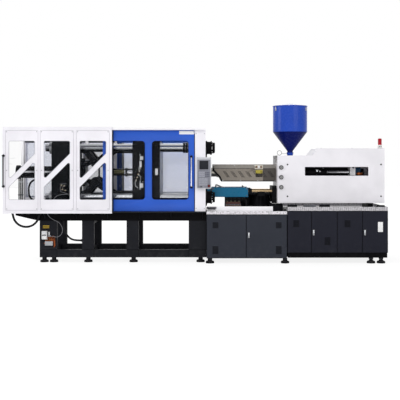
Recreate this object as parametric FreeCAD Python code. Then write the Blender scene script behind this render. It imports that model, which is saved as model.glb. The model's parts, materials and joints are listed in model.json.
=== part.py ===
import FreeCAD, Part
import os
from math import acos, cos, hypot, pi, radians, sin, sqrt, tan

from FreeCAD import Vector

# Injection moulding machine with a double-toggle clamp, lying along X.
# Front is -Y, the clamp end is -X, +Z is up, millimetres.
# The origin is on the floor, in the middle of the machine's length and width.

# ---------------------------------------------------------------- driving dimensions
# along the machine
MACHINE_LENGTH = 7710.0
POWER_CABINET_LENGTH = 2012.0
DRIVE_CABINET_LENGTH = 1612.0
SECTION_GAP = 10.0
BED_LENGTH = 3370.0
BEAM_OVERHANG = 490.0
DAYLIGHT = 615.0
FIXED_PLATEN_DEPTH = 320.0
MOVING_PLATEN_DEPTH = 560.0
MOVING_PLATE_DEPTH = 180.0
TAIL_PLATEN_DEPTH = 440.0
TAIL_PLATE_DEPTH = 180.0
CYLINDER_LENGTH = 840.0

# heights
BED_CLEARANCE = 98.0
POWER_CLEARANCE = 112.0
PLINTH_HEIGHT = 96.0
SILL_HEIGHT = 155.0
BEAM_HEIGHT = 197.0
BED_TOP = 1037.0
DRIVE_CABINET_TOP = 983.0
POWER_CABINET_TOP = 1053.0
DRIVE_TRAY_LIP = 60.0
POWER_TRAY_LIP = 76.0
TRAY_SHEET = 12.0
AXIS_HEIGHT = 1815.0

# clamp
TIE_PITCH = 1010.0
TIE_RADIUS = 78.0
TIE_TAIL = 135.0
PLATEN_SIZE = 1280.0
PLATEN_CHAMFER = 90.0
NUT_RADIUS = 125.0
NUT_LENGTH = 119.0
NUT_FLANGE = 24.0
ADJUSTING_NUT = 50.0
LOCATING_RADIUS = 80.0
LOCATING_DEPTH = 100.0
NOZZLE_POCKET_RADIUS = 170.0
MOULD_HOLE_PITCH = 560.0
MOULD_HOLE_RADIUS = 12.0
MOULD_HOLE_DEPTH = 60.0
CLAMP_CYLINDER_RADIUS = 125.0
CLAMP_BORE_RADIUS = 95.0
CLAMP_ROD_RADIUS = 55.0
RUNNING_GAP = 0.1
SHOE_GAP = 0.5
WEAR_STRIP = 14.0

# toggle linkage, in the XZ plane and mirrored about the machine's axis
PIVOT_OFFSET = 480.0
TAIL_EAR = 175.0
PIVOT_SPAN = 610.0
REAR_LINK = 370.0
FRONT_LINK = 470.0
CROSS_PIN_REACH = 300.0
CROSS_PIN_ANGLE = 10.0
CROSS_LINK = 225.0
CROSSHEAD_PIN_OFFSET = 130.0
LINK_PIN_RADIUS = 45.0
CROSS_PIN_RADIUS = 30.0
LINK_EYE_RADIUS = 80.0
KNEE_EYE_RADIUS = 100.0
CROSS_EYE_RADIUS = 70.0
OPEN_PIVOT_GAP = 24.0
CROSS_LANE = 84.0
CROSS_WEB = 60.0
WEB = 60.0
FRONT_WEB = 110.0
LANE_GAP = 5.0

# sliding guards
GUARD_LENGTH = 2185.0
GUARD_BOTTOM = 1000.0
GUARD_TOP = 2730.0
GUARD_FACE = 900.0
GUARD_SHEET = 24.0
DOOR_LENGTH = 1837.0
DOOR_TOP = 2667.0
DOOR_FACE = 795.0
DOOR_SHEET = 30.0
PANE = 5.0
SLIDE_GAP = 4.0
HANDLE_REACH = 60.0
HANDLE_LENGTH = 611.0
HANDLE_BAR = 14.0
HANDLE_POST = 18.0
COVER_WIDTH = 213.0
HEADER_DEPTH = 56.0
HEADER_HEIGHT = 44.0
WINDOW_BOTTOM = 1278.0
WINDOW_HEIGHT = 1172.0
WINDOW_CORNER = 60.0
WINDOW_BAR = 150.0
BAR_CORNER = 28.0
POST = 60.0
SHELF = 24.0

# welded bed
BED_WIDTH = 1320.0
SECTION = 100.0
PILLAR_WIDTH = 243.0
END_PILLAR_WIDTH = 351.0

# cabinets
CABINET_WIDTH = 1720.0
CABINET_WALL = 25.0
LEAF = 23.0
LEAF_GAP = 4.0
VENT_WIDTH = 134.0
LATCH_LENGTH = 108.0
HINGE_RADIUS = 5.0
HINGE_PROUD = 4.5
HINGE_STRAP = 35.0
HINGE_LENGTH = 60.0

# injection unit
BARREL_RADIUS = 95.0
BARREL_BORE = 45.0
ROD_PITCH = 560.0
ROD_RADIUS = 30.0
ROD_HEIGHT = 1427.0
HOUSING_LENGTH = 2182.0
HOUSING_WIDTH = 1120.0
HOUSING_BOTTOM = 1194.0
HOUSING_LOW_TOP = 2162.0
HOUSING_TOP = 2308.0
HOUSING_SHEET = 6.0
GAUGE_RADIUS = 42.0
HOPPER_SETBACK = 311.0
HOPPER_RADIUS = 358.0
HOPPER_TOP = 3195.0
HOPPER_SHOULDER = 2659.0
HOPPER_THROAT = 2259.0
HOPPER_NECK = 59.0
HOPPER_SHEET = 5.0
FEED_BORE = 42.0
LID_RISE = 57.0

# ---------------------------------------------------------------- places worked out from them
RIGHT_END = MACHINE_LENGTH / 2
LEFT_END = -RIGHT_END
POWER_X = (RIGHT_END - POWER_CABINET_LENGTH, RIGHT_END)
DRIVE_X = (POWER_X[0] - SECTION_GAP - DRIVE_CABINET_LENGTH, POWER_X[0] - SECTION_GAP)
BED_X = (DRIVE_X[0] - SECTION_GAP - BED_LENGTH, DRIVE_X[0] - SECTION_GAP)
FIXED_X = (BED_X[1] - FIXED_PLATEN_DEPTH, BED_X[1])
MOVING_X = (FIXED_X[0] - DAYLIGHT - MOVING_PLATEN_DEPTH, FIXED_X[0] - DAYLIGHT)
PLATEN_ARM = 416.0
MOVING_PIVOT_X = MOVING_X[0] - PLATEN_ARM
TAIL_PIVOT_X = MOVING_PIVOT_X - PIVOT_SPAN
TAIL_X = (TAIL_PIVOT_X - TAIL_EAR - TAIL_PLATEN_DEPTH, TAIL_PIVOT_X - TAIL_EAR)
TIE_X = (TAIL_X[0] - TIE_TAIL, FIXED_X[1] + NUT_LENGTH)
TIE_HALF = TIE_PITCH / 2
TIE_CORNERS = [(y, AXIS_HEIGHT + z) for y in (-TIE_HALF, TIE_HALF) for z in (-TIE_HALF, TIE_HALF)]
PLATEN_HALF = PLATEN_SIZE / 2
PLATEN_BOTTOM = AXIS_HEIGHT - PLATEN_HALF
BED_HALF = BED_WIDTH / 2
BEAM_BOTTOM = BED_TOP - BEAM_HEIGHT
SILL_TOP = BED_CLEARANCE + SILL_HEIGHT
WINDOW_Z = (WINDOW_BOTTOM, WINDOW_BOTTOM + WINDOW_HEIGHT)

DOOR_BACK = DOOR_FACE - DOOR_SHEET
GUARD_BACK = GUARD_FACE - GUARD_SHEET
HEADER_FRONT = GUARD_BACK - PANE - 2 * SLIDE_GAP
WEB_Y = (DOOR_BACK - PANE - SLIDE_GAP - HEADER_DEPTH, DOOR_BACK - PANE - SLIDE_GAP)
HEADER_Z = (DOOR_TOP + SLIDE_GAP, DOOR_TOP + SLIDE_GAP + HEADER_HEIGHT)
COVER_X = (BED_X[1] - 9.0 - COVER_WIDTH, BED_X[1] - 9.0)
DOOR_X = (COVER_X[0] - 16.0 - DOOR_LENGTH, COVER_X[0] - 16.0)
GUARD_X = (LEFT_END, LEFT_END + GUARD_LENGTH)

DRIVE_FLOOR = DRIVE_CABINET_TOP + TRAY_SHEET
POWER_FLOOR = POWER_CABINET_TOP + TRAY_SHEET
HOUSING_X = (RIGHT_END - 6.0 - HOUSING_LENGTH, RIGHT_END - 6.0)
HOUSING_HALF = HOUSING_WIDTH / 2
HOPPER_X = HOUSING_X[0] + HOPPER_SETBACK
ROD_Y = ROD_PITCH / 2

# lanes across the machine, from the middle outwards
INNER_LANE = (CROSS_LANE + CROSS_WEB + LANE_GAP, CROSS_LANE + CROSS_WEB + LANE_GAP + WEB)
FRONT_LANE = (INNER_LANE[1] + LANE_GAP, INNER_LANE[1] + LANE_GAP + FRONT_WEB)
OUTER_LANE = (FRONT_LANE[1] + LANE_GAP, FRONT_LANE[1] + LANE_GAP + WEB)
CROSS_LANES = (CROSS_LANE, CROSS_LANE + CROSS_WEB)

# toggle angles at rest, from the triangle of two links over the pivot span
REAR_ANGLE = acos((REAR_LINK**2 + PIVOT_SPAN**2 - FRONT_LINK**2) / (2 * REAR_LINK * PIVOT_SPAN))
KNEE_DROP = REAR_LINK * sin(REAR_ANGLE)
KNEE_X = TAIL_PIVOT_X + REAR_LINK * cos(REAR_ANGLE)
KNEE_OFFSET = PIVOT_OFFSET - KNEE_DROP
CROSS_DIRECTION = REAR_ANGLE + radians(CROSS_PIN_ANGLE)
CROSS_PIN_X = TAIL_PIVOT_X + CROSS_PIN_REACH * cos(CROSS_DIRECTION)
CROSS_PIN_OFFSET = PIVOT_OFFSET - CROSS_PIN_REACH * sin(CROSS_DIRECTION)
CROSS_RISE = CROSS_PIN_OFFSET - CROSSHEAD_PIN_OFFSET
CROSSHEAD_X = CROSS_PIN_X - sqrt(CROSS_LINK**2 - CROSS_RISE**2)


# ---------------------------------------------------------------- shapes
def block(x, y, z):
    """Box between pairs of low and high limits."""
    return Part.makeBox(x[1] - x[0], y[1] - y[0], z[1] - z[0], Vector(x[0], y[0], z[0]))


def rod_x(radius, x, y, z):
    """Round bar along X."""
    return Part.makeCylinder(radius, x[1] - x[0], Vector(x[0], y, z), Vector(1, 0, 0))


def rod_y(radius, y, x, z):
    """Round bar along Y."""
    return Part.makeCylinder(radius, y[1] - y[0], Vector(x, y[0], z), Vector(0, 1, 0))


def rod_z(radius, z, x, y):
    """Round bar along Z."""
    return Part.makeCylinder(radius, z[1] - z[0], Vector(x, y, z[0]), Vector(0, 0, 1))


def prism(points, length):
    """Closed polygon of 3-D points, extruded along a vector."""
    wire = Part.makePolygon([Vector(*p) for p in points] + [Vector(*points[0])])
    return Part.Face(wire).extrude(Vector(*length))


def plate_xz(points, y):
    """Outline in X and Z, extruded across the machine."""
    return prism([(px, y[0], pz) for px, pz in points], (0, y[1] - y[0], 0))


def plate_yz(points, x):
    """Outline in Y and Z, extruded along the machine."""
    return prism([(x[0], py, pz) for py, pz in points], (x[1] - x[0], 0, 0))


def turned(profile, x, y):
    """Solid of revolution about a vertical axis, from (radius, height) points."""
    wire = Part.makePolygon([Vector(r, 0, z) for r, z in profile + profile[:1]])
    solid = Part.Face(wire).revolve(Vector(0, 0, 0), Vector(0, 0, 1), 360)
    solid.translate(Vector(x, y, 0))
    return solid


def cut(shape, *tools):
    """The shape with each tool taken out of it."""
    for tool in tools:
        shape = shape.cut(tool)
    return shape


def joined(shapes):
    """One solid made of overlapping shapes."""
    result = shapes[0]
    for shape in shapes[1:]:
        result = result.fuse(shape)
    return result.removeSplitter()


def front_and_rear(shapes):
    """The front shapes and their mirror images at the rear."""
    return shapes + mirrored(shapes)


def mirrored(shapes):
    """Rear copies of front shapes."""
    return [s.mirror(Vector(0, 0, 0), Vector(0, 1, 0)) for s in shapes]


def lower(shapes):
    """Mirror images of upper shapes, below the machine's axis."""
    return [s.mirror(Vector(0, 0, AXIS_HEIGHT), Vector(0, 0, 1)) for s in shapes]


def rounded_across(shape, radius):
    """The shape with its edges across the machine rounded."""
    corners = [e for e in shape.Edges if abs(e.tangentAt(e.FirstParameter).y) > 0.9]
    return shape.makeFillet(radius, corners)


def rounded_window(x, z, y, radius):
    """Round-cornered opening through a panel."""
    return rounded_across(block(x, y, z), radius)


def save(node, shapes):
    """Write one node from its separate solids."""
    solids = [solid for shape in shapes for solid in shape.Solids]
    for solid in solids:
        if not solid.isValid() or solid.Volume <= 0:
            raise ValueError(node + " has a bad solid")
    shape = solids[0] if len(solids) == 1 else Part.makeCompound(solids)
    shape.exportStep("parts/" + node + ".step")


# ---------------------------------------------------------------- welded bed and clamp, standing still
def pillar_spans():
    """The four pillars of the bed, along X."""
    end = (BED_X[0], BED_X[0] + END_PILLAR_WIDTH)
    second = BED_X[0] + 0.2543 * BED_LENGTH
    third = BED_X[0] + 0.522 * BED_LENGTH
    return [end, (second, second + PILLAR_WIDTH), (third, third + PILLAR_WIDTH),
            (BED_X[1] - END_PILLAR_WIDTH, BED_X[1])]


def bed_frame():
    """Box-section bed: sills, pillars and cross members."""
    side = (-BED_HALF, -BED_HALF + SECTION)
    solids = [block(BED_X, side, (BED_CLEARANCE, SILL_TOP))]
    for span in pillar_spans():
        solids.append(block(span, side, (SILL_TOP, BEAM_BOTTOM)))
    solids = front_and_rear(solids)
    inside = (-BED_HALF + SECTION, BED_HALF - SECTION)
    for span in pillar_spans():
        middle = (span[0] + span[1]) / 2
        width = (middle - SECTION / 2, middle + SECTION / 2)
        solids.append(block(width, inside, (BED_CLEARANCE, SILL_TOP)))
        solids.append(block(width, inside, (BEAM_BOTTOM - SECTION, BEAM_BOTTOM)))
    return solids


def top_beams():
    """Long beams with a raked overhanging end, and the hardened ways of the two travelling platens."""
    y = (-BED_HALF, -BED_HALF + 160.0)
    left = BED_X[0] - BEAM_OVERHANG
    outline = [(left, BED_TOP), (BED_X[1], BED_TOP), (BED_X[1], BEAM_BOTTOM),
               (left + 470.0, BEAM_BOTTOM), (left + 330.0, BEAM_BOTTOM + 30.0),
               (left, BED_TOP - 90.0)]
    strip_y = (-BED_HALF + 25.0, -BED_HALF + 145.0)
    span = (TAIL_X[0] - 150.0, FIXED_X[0] - 40.0)
    strip = block(span, strip_y, (BED_TOP, BED_TOP + WEAR_STRIP))
    return front_and_rear([plate_xz(outline, y), strip])


def foot(x, y, top):
    """Levelling foot: a rubber-soled pad with a stud up to the frame."""
    profile = [(0, 0), (85.0, 0), (85.0, 22.0), (46.0, 48.0), (46.0, 65.0), (18.0, 65.0),
               (18.0, top), (0, top)]
    return turned(profile, x, y)


def levelling_feet():
    """Feet under the bed and the two cabinets, in front and rear pairs."""
    bed_y = -BED_HALF + 60.0
    cabinet_y = -CABINET_WIDTH / 2 + 60.0
    end, second, third, last = pillar_spans()
    bed_places = [end[0] + 87.0, end[1] - 69.0, sum(second) / 2, sum(third) / 2 + 18.0, last[1] - 110.0]
    feet = [foot(x, bed_y, BED_CLEARANCE) for x in bed_places]
    for x in (DRIVE_X[0] + 69.0, DRIVE_X[1] - 35.0):
        feet.append(foot(x, cabinet_y, BED_CLEARANCE))
    for x in (RIGHT_END - 330.0, RIGHT_END - 129.0):
        feet.append(foot(x, cabinet_y, POWER_CLEARANCE))
    return front_and_rear(feet)


def platen_block(x):
    """Cast platen: a square block along X with chamfered corners."""
    half, chamfer = PLATEN_HALF, PLATEN_CHAMFER
    corner = half - chamfer
    outline = [(-half, -corner), (-corner, -half), (corner, -half), (half, -corner),
               (half, corner), (corner, half), (-corner, half), (-half, corner)]
    return plate_yz([(y, AXIS_HEIGHT + z) for y, z in outline], x)


def tie_holes(x, gap):
    """Bores for the four tie bars."""
    return [rod_x(TIE_RADIUS + gap, x, y, z) for y, z in TIE_CORNERS]


def mould_holes(face, inward):
    """Tapped-hole places at the corners of the mould face."""
    half = MOULD_HOLE_PITCH / 2
    x = sorted((face - inward, face + MOULD_HOLE_DEPTH * inward))
    return [rod_x(MOULD_HOLE_RADIUS, x, y, AXIS_HEIGHT + z)
            for y in (-half, half) for z in (-half, half)]


def pocket_cuts(x):
    """Casting pockets between the corner bosses, the hub and the ribs of a platen."""
    inner = 40.0
    outer = TIE_HALF - NUT_RADIUS
    low, high = 220.0, PLATEN_HALF - 50.0
    pockets = []
    for side in (-1, 1):
        across = sorted((side * inner, side * outer))
        for up in (-1, 1):
            z = sorted((AXIS_HEIGHT + up * low, AXIS_HEIGHT + up * high))
            pockets.append(block(x, across, z))
        wide = sorted((side * low, side * high))
        pockets.append(block(x, wide, (AXIS_HEIGHT - 180.0, AXIS_HEIGHT + 180.0)))
    return pockets


def platen_feet(x, gap):
    """Feet of a platen on the beams, with a gap under those that slide."""
    y = (-PLATEN_HALF + 15.0, -PLATEN_HALF + 125.0)
    return front_and_rear([block(x, y, (BED_TOP + gap, PLATEN_BOTTOM + PLATEN_CHAMFER))])


def fixed_platen():
    """Platen that carries the injection half of the mould."""
    body = joined([platen_block(FIXED_X)] + platen_feet(FIXED_X, 0.0))
    bore = rod_x(LOCATING_RADIUS, (FIXED_X[0] - 1.0, FIXED_X[1]), 0, AXIS_HEIGHT)
    pocket = rod_x(NOZZLE_POCKET_RADIUS, (FIXED_X[0] + LOCATING_DEPTH, FIXED_X[1] + 1.0), 0, AXIS_HEIGHT)
    through = (FIXED_X[0] - 1.0, FIXED_X[1] + 1.0)
    return [cut(body, bore, pocket, *tie_holes(through, 0.0), *mould_holes(FIXED_X[0], 1))]


def tie_bars():
    """Four tie bars, from behind the tail platen to the nuts."""
    return [rod_x(TIE_RADIUS, TIE_X, y, z) for y, z in TIE_CORNERS]


def tie_bar_nuts():
    """Flanged nuts on the outside of the fixed platen, with their bolts and a collar."""
    solids = []
    flange_x = (FIXED_X[1], FIXED_X[1] + NUT_FLANGE)
    nut_x = (flange_x[1], FIXED_X[1] + NUT_LENGTH)
    for y, z in TIE_CORNERS:
        half = NUT_RADIUS + 12.0
        flange = block(flange_x, (y - half, y + half), (z - half, z + half))
        nut = rod_x(NUT_RADIUS, nut_x, y, z)
        rim = rod_x(NUT_RADIUS + 14.0, (nut_x[1] - 26.0, nut_x[1]), y, z)
        body = joined([flange, nut, rim])
        solids.append(cut(body, rod_x(TIE_RADIUS, (flange_x[0] - 1.0, nut_x[1] + 1.0), y, z)))
        for step in range(6):
            turn = radians(30 + 60 * step)
            reach = (NUT_RADIUS + TIE_RADIUS) / 2
            head = (nut_x[1], nut_x[1] + 16.0)
            solids.append(rod_x(11.0, head, y + reach * cos(turn), z + reach * sin(turn)))
    return solids


# ---------------------------------------------------------------- tail platen and clamp cylinder
def ear(x, z, root_x, lane, eye, hole):
    """Ear that reaches from a platen to a pivot, in one lane."""
    web = block(sorted((x, root_x)), lane, (z - eye, z + eye))
    body = joined([web, rod_y(eye, lane, x, z)])
    return cut(body, rod_y(hole, (lane[0] - 1.0, lane[1] + 1.0), x, z))


def tail_platen():
    """Platen behind the toggles, with ears, pins, adjusting nuts and the crosshead's guide rods."""
    body = joined([platen_block(TAIL_X)] + platen_feet(TAIL_X, WEAR_STRIP + SHOE_GAP))
    through = (TAIL_X[0] - 1.0, TAIL_X[1] + 1.0)
    pockets = pocket_cuts((TAIL_X[0] - 1.0, TAIL_X[1] - TAIL_PLATE_DEPTH))
    rod_hole = rod_x(CLAMP_ROD_RADIUS + 5.0, through, 0, AXIS_HEIGHT)
    body = cut(body, rod_hole, *tie_holes(through, RUNNING_GAP), *pockets)
    solids = [body]
    for z in (AXIS_HEIGHT + PIVOT_OFFSET, AXIS_HEIGHT - PIVOT_OFFSET):
        lane = (-FRONT_LANE[1], -FRONT_LANE[0])
        piece = ear(TAIL_PIVOT_X, z, TAIL_X[1], lane, LINK_EYE_RADIUS, LINK_PIN_RADIUS)
        pin = rod_y(LINK_PIN_RADIUS, (-OUTER_LANE[1] - 8.0, -INNER_LANE[0] + 1.0), TAIL_PIVOT_X, z)
        solids += front_and_rear([piece, pin])
    end = (CROSSHEAD_X + 320.0, CROSSHEAD_X + 345.0)
    for z in (AXIS_HEIGHT + 240.0, AXIS_HEIGHT - 240.0):
        solids.append(rod_x(25.0, (TAIL_X[1], end[0]), 0, z))
    solids.append(block(end, (-60.0, 60.0), (AXIS_HEIGHT - 280.0, AXIS_HEIGHT + 280.0)))
    nut_x = (TAIL_X[0] - ADJUSTING_NUT, TAIL_X[0])
    bores = tie_holes((nut_x[0] - 1.0, nut_x[1]), RUNNING_GAP)
    for (y, z), bore in zip(TIE_CORNERS, bores):
        solids.append(cut(rod_x(NUT_RADIUS, nut_x, y, z), bore))
    return solids


def clamp_cylinder():
    """Hydraulic cylinder on the back of the tail platen: flange, tube, end cap and position sensor."""
    back = TAIL_X[0]
    left = back - CYLINDER_LENGTH
    tube = rod_x(CLAMP_CYLINDER_RADIUS, (left, back), 0, AXIS_HEIGHT)
    flange = rod_x(CLAMP_CYLINDER_RADIUS + 55.0, (back - 60.0, back), 0, AXIS_HEIGHT)
    cap = rod_x(CLAMP_CYLINDER_RADIUS + 20.0, (left, left + 70.0), 0, AXIS_HEIGHT)
    bore = rod_x(CLAMP_BORE_RADIUS, (left + 70.0, back - 90.0), 0, AXIS_HEIGHT)
    gland = rod_x(CLAMP_ROD_RADIUS + RUNNING_GAP, (back - 91.0, back + 1.0), 0, AXIS_HEIGHT)
    y = (-CLAMP_CYLINDER_RADIUS - 45.0, -CLAMP_CYLINDER_RADIUS - 10.0)
    span = (left + 138.0, back - 76.0)
    z = (AXIS_HEIGHT - 8.0, AXIS_HEIGHT + 27.0)
    sensor = block(span, y, z)
    stays = [block((x, x + 26.0), (y[1], -CLAMP_CYLINDER_RADIUS + 10.0), z)
             for x in (span[0] + 20.0, span[1] - 46.0)]
    (hose_x, hose_z), (end_x, end_z) = CLAMP_HOSE_ROUTE[0], CLAMP_HOSE_ROUTE[-1]
    across = (CLAMP_HOSE_PLANE - 34.0, CLAMP_HOSE_PLANE + 25.0)
    elbow = block((hose_x + 25.0, hose_x + 75.0), across, (hose_z - 30.0, hose_z + 44.0))
    body = cut(joined([tube, flange, cap, sensor, elbow] + stays), bore, gland)
    fittings = [rod_x(CLAMP_HOSE_DIAMETER * 0.7, (hose_x, hose_x + 25.0), CLAMP_HOSE_PLANE, hose_z),
                joined([rod_x(CLAMP_HOSE_DIAMETER * 0.7, (end_x, back - 20.0), CLAMP_HOSE_PLANE, end_z),
                        block((back - 20.0, back), across, (end_z - 34.0, end_z + 34.0))])]
    return [body] + fittings


def crosshead():
    """Crosshead on the cylinder's rod, with its piston and the pins of the cross links."""
    half = 50.0
    x = (CROSSHEAD_X - half, CROSSHEAD_X + half)
    reach = CROSS_LANE - 6.0
    body = block(x, (-reach, reach), (AXIS_HEIGHT - 190.0, AXIS_HEIGHT + 190.0))
    slide = block((x[0] + 10.0, x[1] - 10.0), (-48.0, 48.0), (AXIS_HEIGHT - 290.0, AXIS_HEIGHT + 290.0))
    holes = [rod_x(25.0 + RUNNING_GAP, (x[0] - 1.0, x[1] + 1.0), 0, AXIS_HEIGHT + z)
             for z in (-240.0, 240.0)]
    back = TAIL_X[0] - CYLINDER_LENGTH
    rod = rod_x(CLAMP_ROD_RADIUS, (back + 130.0, x[0]), 0, AXIS_HEIGHT)
    piston = rod_x(CLAMP_BORE_RADIUS - RUNNING_GAP, (back + 90.0, back + 170.0), 0, AXIS_HEIGHT)
    solids = [cut(joined([body, slide]), *holes), joined([rod, piston])]
    for z in (AXIS_HEIGHT + CROSSHEAD_PIN_OFFSET, AXIS_HEIGHT - CROSSHEAD_PIN_OFFSET):
        pin = rod_y(CROSS_PIN_RADIUS, (-CROSS_LANES[1] + 1.0, -reach), CROSSHEAD_X, z)
        solids += front_and_rear([pin])
    return solids


# ---------------------------------------------------------------- toggle links
def link_web(start, end, lane, eyes, holes, waist):
    """Forged link web between two (x, z) centres: an eye at each end and a waisted bar."""
    (x0, z0), (x1, z1) = start, end
    span = hypot(x1 - x0, z1 - z0)
    nx, nz = (z0 - z1) / span * waist, (x1 - x0) / span * waist
    bar = plate_xz([(x0 + nx, z0 + nz), (x1 + nx, z1 + nz), (x1 - nx, z1 - nz), (x0 - nx, z0 - nz)], lane)
    body = joined([bar, rod_y(eyes[0], lane, x0, z0), rod_y(eyes[1], lane, x1, z1)])
    past = (lane[0] - 1.0, lane[1] + 1.0)
    tools = [rod_y(hole, past, x, z) for hole, (x, z) in zip(holes, (start, end)) if hole]
    return cut(body, *tools)


def rear_link():
    """Upper rear link: four webs, the knee pin and the cross pins."""
    pivot = (TAIL_PIVOT_X, AXIS_HEIGHT + PIVOT_OFFSET)
    knee = (KNEE_X, AXIS_HEIGHT + KNEE_OFFSET)
    cross = (CROSS_PIN_X, AXIS_HEIGHT + CROSS_PIN_OFFSET)
    eyes = (LINK_EYE_RADIUS, LINK_EYE_RADIUS)
    holes = (LINK_PIN_RADIUS + RUNNING_GAP, 0)
    outer = link_web(pivot, knee, (-OUTER_LANE[1], -OUTER_LANE[0]), eyes, holes, 58.0)
    lane = (-INNER_LANE[1], -INNER_LANE[0])
    inner = link_web(pivot, knee, lane, eyes, holes, 58.0)
    lug = rod_y(CROSS_PIN_RADIUS + 22.0, lane, cross[0], cross[1])
    inner = joined([inner, lug])
    knee_pin = rod_y(LINK_PIN_RADIUS, (-OUTER_LANE[0], -INNER_LANE[1]), knee[0], knee[1])
    cross_pin = rod_y(CROSS_PIN_RADIUS, (-INNER_LANE[0], -CROSS_LANE), cross[0], cross[1])
    return front_and_rear([joined([outer, knee_pin, inner, cross_pin])])


def front_link():
    """Upper front link: two thick webs, with the open pivot at the knee."""
    knee = (KNEE_X, AXIS_HEIGHT + KNEE_OFFSET)
    pivot = (MOVING_PIVOT_X, AXIS_HEIGHT + PIVOT_OFFSET)
    web = link_web(knee, pivot, (-FRONT_LANE[1], -FRONT_LANE[0]),
                   (KNEE_EYE_RADIUS, LINK_EYE_RADIUS),
                   (LINK_PIN_RADIUS + OPEN_PIVOT_GAP, LINK_PIN_RADIUS + RUNNING_GAP), 62.0)
    return front_and_rear([web])


def cross_link():
    """Upper cross link: a short web each side, with the open pivot at the rear link."""
    head = (CROSSHEAD_X, AXIS_HEIGHT + CROSSHEAD_PIN_OFFSET)
    cross = (CROSS_PIN_X, AXIS_HEIGHT + CROSS_PIN_OFFSET)
    web = link_web(head, cross, (-CROSS_LANES[1], -CROSS_LANES[0]),
                   (CROSS_PIN_RADIUS + 24.0, CROSS_EYE_RADIUS),
                   (CROSS_PIN_RADIUS + RUNNING_GAP, CROSS_PIN_RADIUS + OPEN_PIVOT_GAP), 34.0)
    return front_and_rear([web])


# ---------------------------------------------------------------- moving platen and ejector
def moving_platen():
    """Moving platen: mould plate, ribbed frame behind it, and arms back to the toggle pivots."""
    root = MOVING_X[1] - MOVING_PLATE_DEPTH
    plate = platen_block((root, MOVING_X[1]))
    frame = joined([platen_block((MOVING_X[0], root))]
                   + platen_feet((MOVING_X[0], root), WEAR_STRIP + SHOE_GAP))
    through = (MOVING_X[0] - 1.0, MOVING_X[1] + 1.0)
    bores = [rod_x(26.0, through, 0, AXIS_HEIGHT)] + tie_holes(through, RUNNING_GAP)
    bores += [rod_x(21.0, through, y, AXIS_HEIGHT) for y in (-130.0, 130.0)]
    arms = []
    pins = []
    for z in (AXIS_HEIGHT + PIVOT_OFFSET, AXIS_HEIGHT - PIVOT_OFFSET):
        for low, high in (INNER_LANE, OUTER_LANE):
            arms.append(ear(MOVING_PIVOT_X, z, root, (-high, -low), LINK_EYE_RADIUS, LINK_PIN_RADIUS))
        pins.append(rod_y(LINK_PIN_RADIUS, (-OUTER_LANE[1] - 8.0, -INNER_LANE[0] + 8.0), MOVING_PIVOT_X, z))
    arms = front_and_rear(arms)
    plate = cut(plate, *bores, *mould_holes(MOVING_X[1], -1))
    frame = cut(frame, *bores, *pocket_cuts((MOVING_X[0] - 1.0, root)), *arms)
    return [plate, frame] + arms + front_and_rear(pins)


def ejector_unit():
    """Ejector cylinder held off the platen's hub by two bars and an end plate."""
    back = MOVING_X[0]
    end = back - 476.0
    plate = block((end, end + 40.0), (-150.0, 150.0), (AXIS_HEIGHT - 76.0, AXIS_HEIGHT + 76.0))
    cylinder = rod_x(48.0, (end + 40.0, end + 250.0), 0, AXIS_HEIGHT)
    bore = rod_x(36.0, (end + 50.0, end + 235.0), 0, AXIS_HEIGHT)
    gland = rod_x(20.0 + RUNNING_GAP, (end + 230.0, end + 251.0), 0, AXIS_HEIGHT)
    bars = [rod_x(16.0, (end + 40.0, back), y, AXIS_HEIGHT + z)
            for y, z in ((-120.0, 56.0), (120.0, 56.0), (-120.0, -56.0), (120.0, -56.0))]
    return [plate, cut(cylinder, bore, gland)] + bars


def ejector_plate():
    """Ejector plate with its piston rod and the two side rods that reach the mould face."""
    back = MOVING_X[0]
    end = back - 476.0
    x = (back - 186.0, back - 156.0)
    plate = block(x, (-160.0, 160.0), (AXIS_HEIGHT - 90.0, AXIS_HEIGHT + 90.0))
    holes = [rod_x(17.0, (x[0] - 1.0, x[1] + 1.0), y, AXIS_HEIGHT + z)
             for y in (-120.0, 120.0) for z in (-56.0, 56.0)]
    piston = rod_x(36.0 - RUNNING_GAP, (end + 52.0, end + 80.0), 0, AXIS_HEIGHT)
    rod = rod_x(20.0, (end + 52.0, x[0]), 0, AXIS_HEIGHT)
    front = (x[1], MOVING_X[1] - 10.0)
    centre = rod_x(25.0, front, 0, AXIS_HEIGHT)
    sides = [rod_x(20.0, front, y, AXIS_HEIGHT) for y in (-130.0, 130.0)]
    return [cut(joined([plate, rod, piston, centre] + sides), *holes)]


# ---------------------------------------------------------------- guard rails and covers, standing still
def guard_rails():
    """Header rail with its web, bottom shelf with gussets, and the posts between them."""
    span = (GUARD_X[0] + 15.0, COVER_X[1])
    header = block(span, (-HEADER_FRONT, -WEB_Y[0]), HEADER_Z)
    web = block((span[0], COVER_X[0] - SLIDE_GAP), (-WEB_Y[1], -WEB_Y[0]), (HEADER_Z[0] - 71.0, HEADER_Z[0]))
    shelf = block(span, (-HEADER_FRONT, -BED_HALF), (BED_TOP - SHELF, BED_TOP))
    solids = [header, web, shelf]
    for x in (GUARD_X[0] + 25.0, GUARD_X[0] + GUARD_LENGTH * 0.655):
        solids.append(block((x, x + POST), (-WEB_Y[1], -WEB_Y[0]), (BED_TOP, HEADER_Z[0] - 71.0)))
    for step in range(6):
        x = BED_X[0] + 100.0 + step * (BED_LENGTH - 180.0) / 5
        gusset = [(-BED_HALF, BED_TOP - SHELF), (-HEADER_FRONT + 40.0, BED_TOP - SHELF),
                  (-BED_HALF, BEAM_BOTTOM + 40.0)]
        solids.append(plate_yz(gusset, (x, x + 12.0)))
    return front_and_rear(solids)


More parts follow.
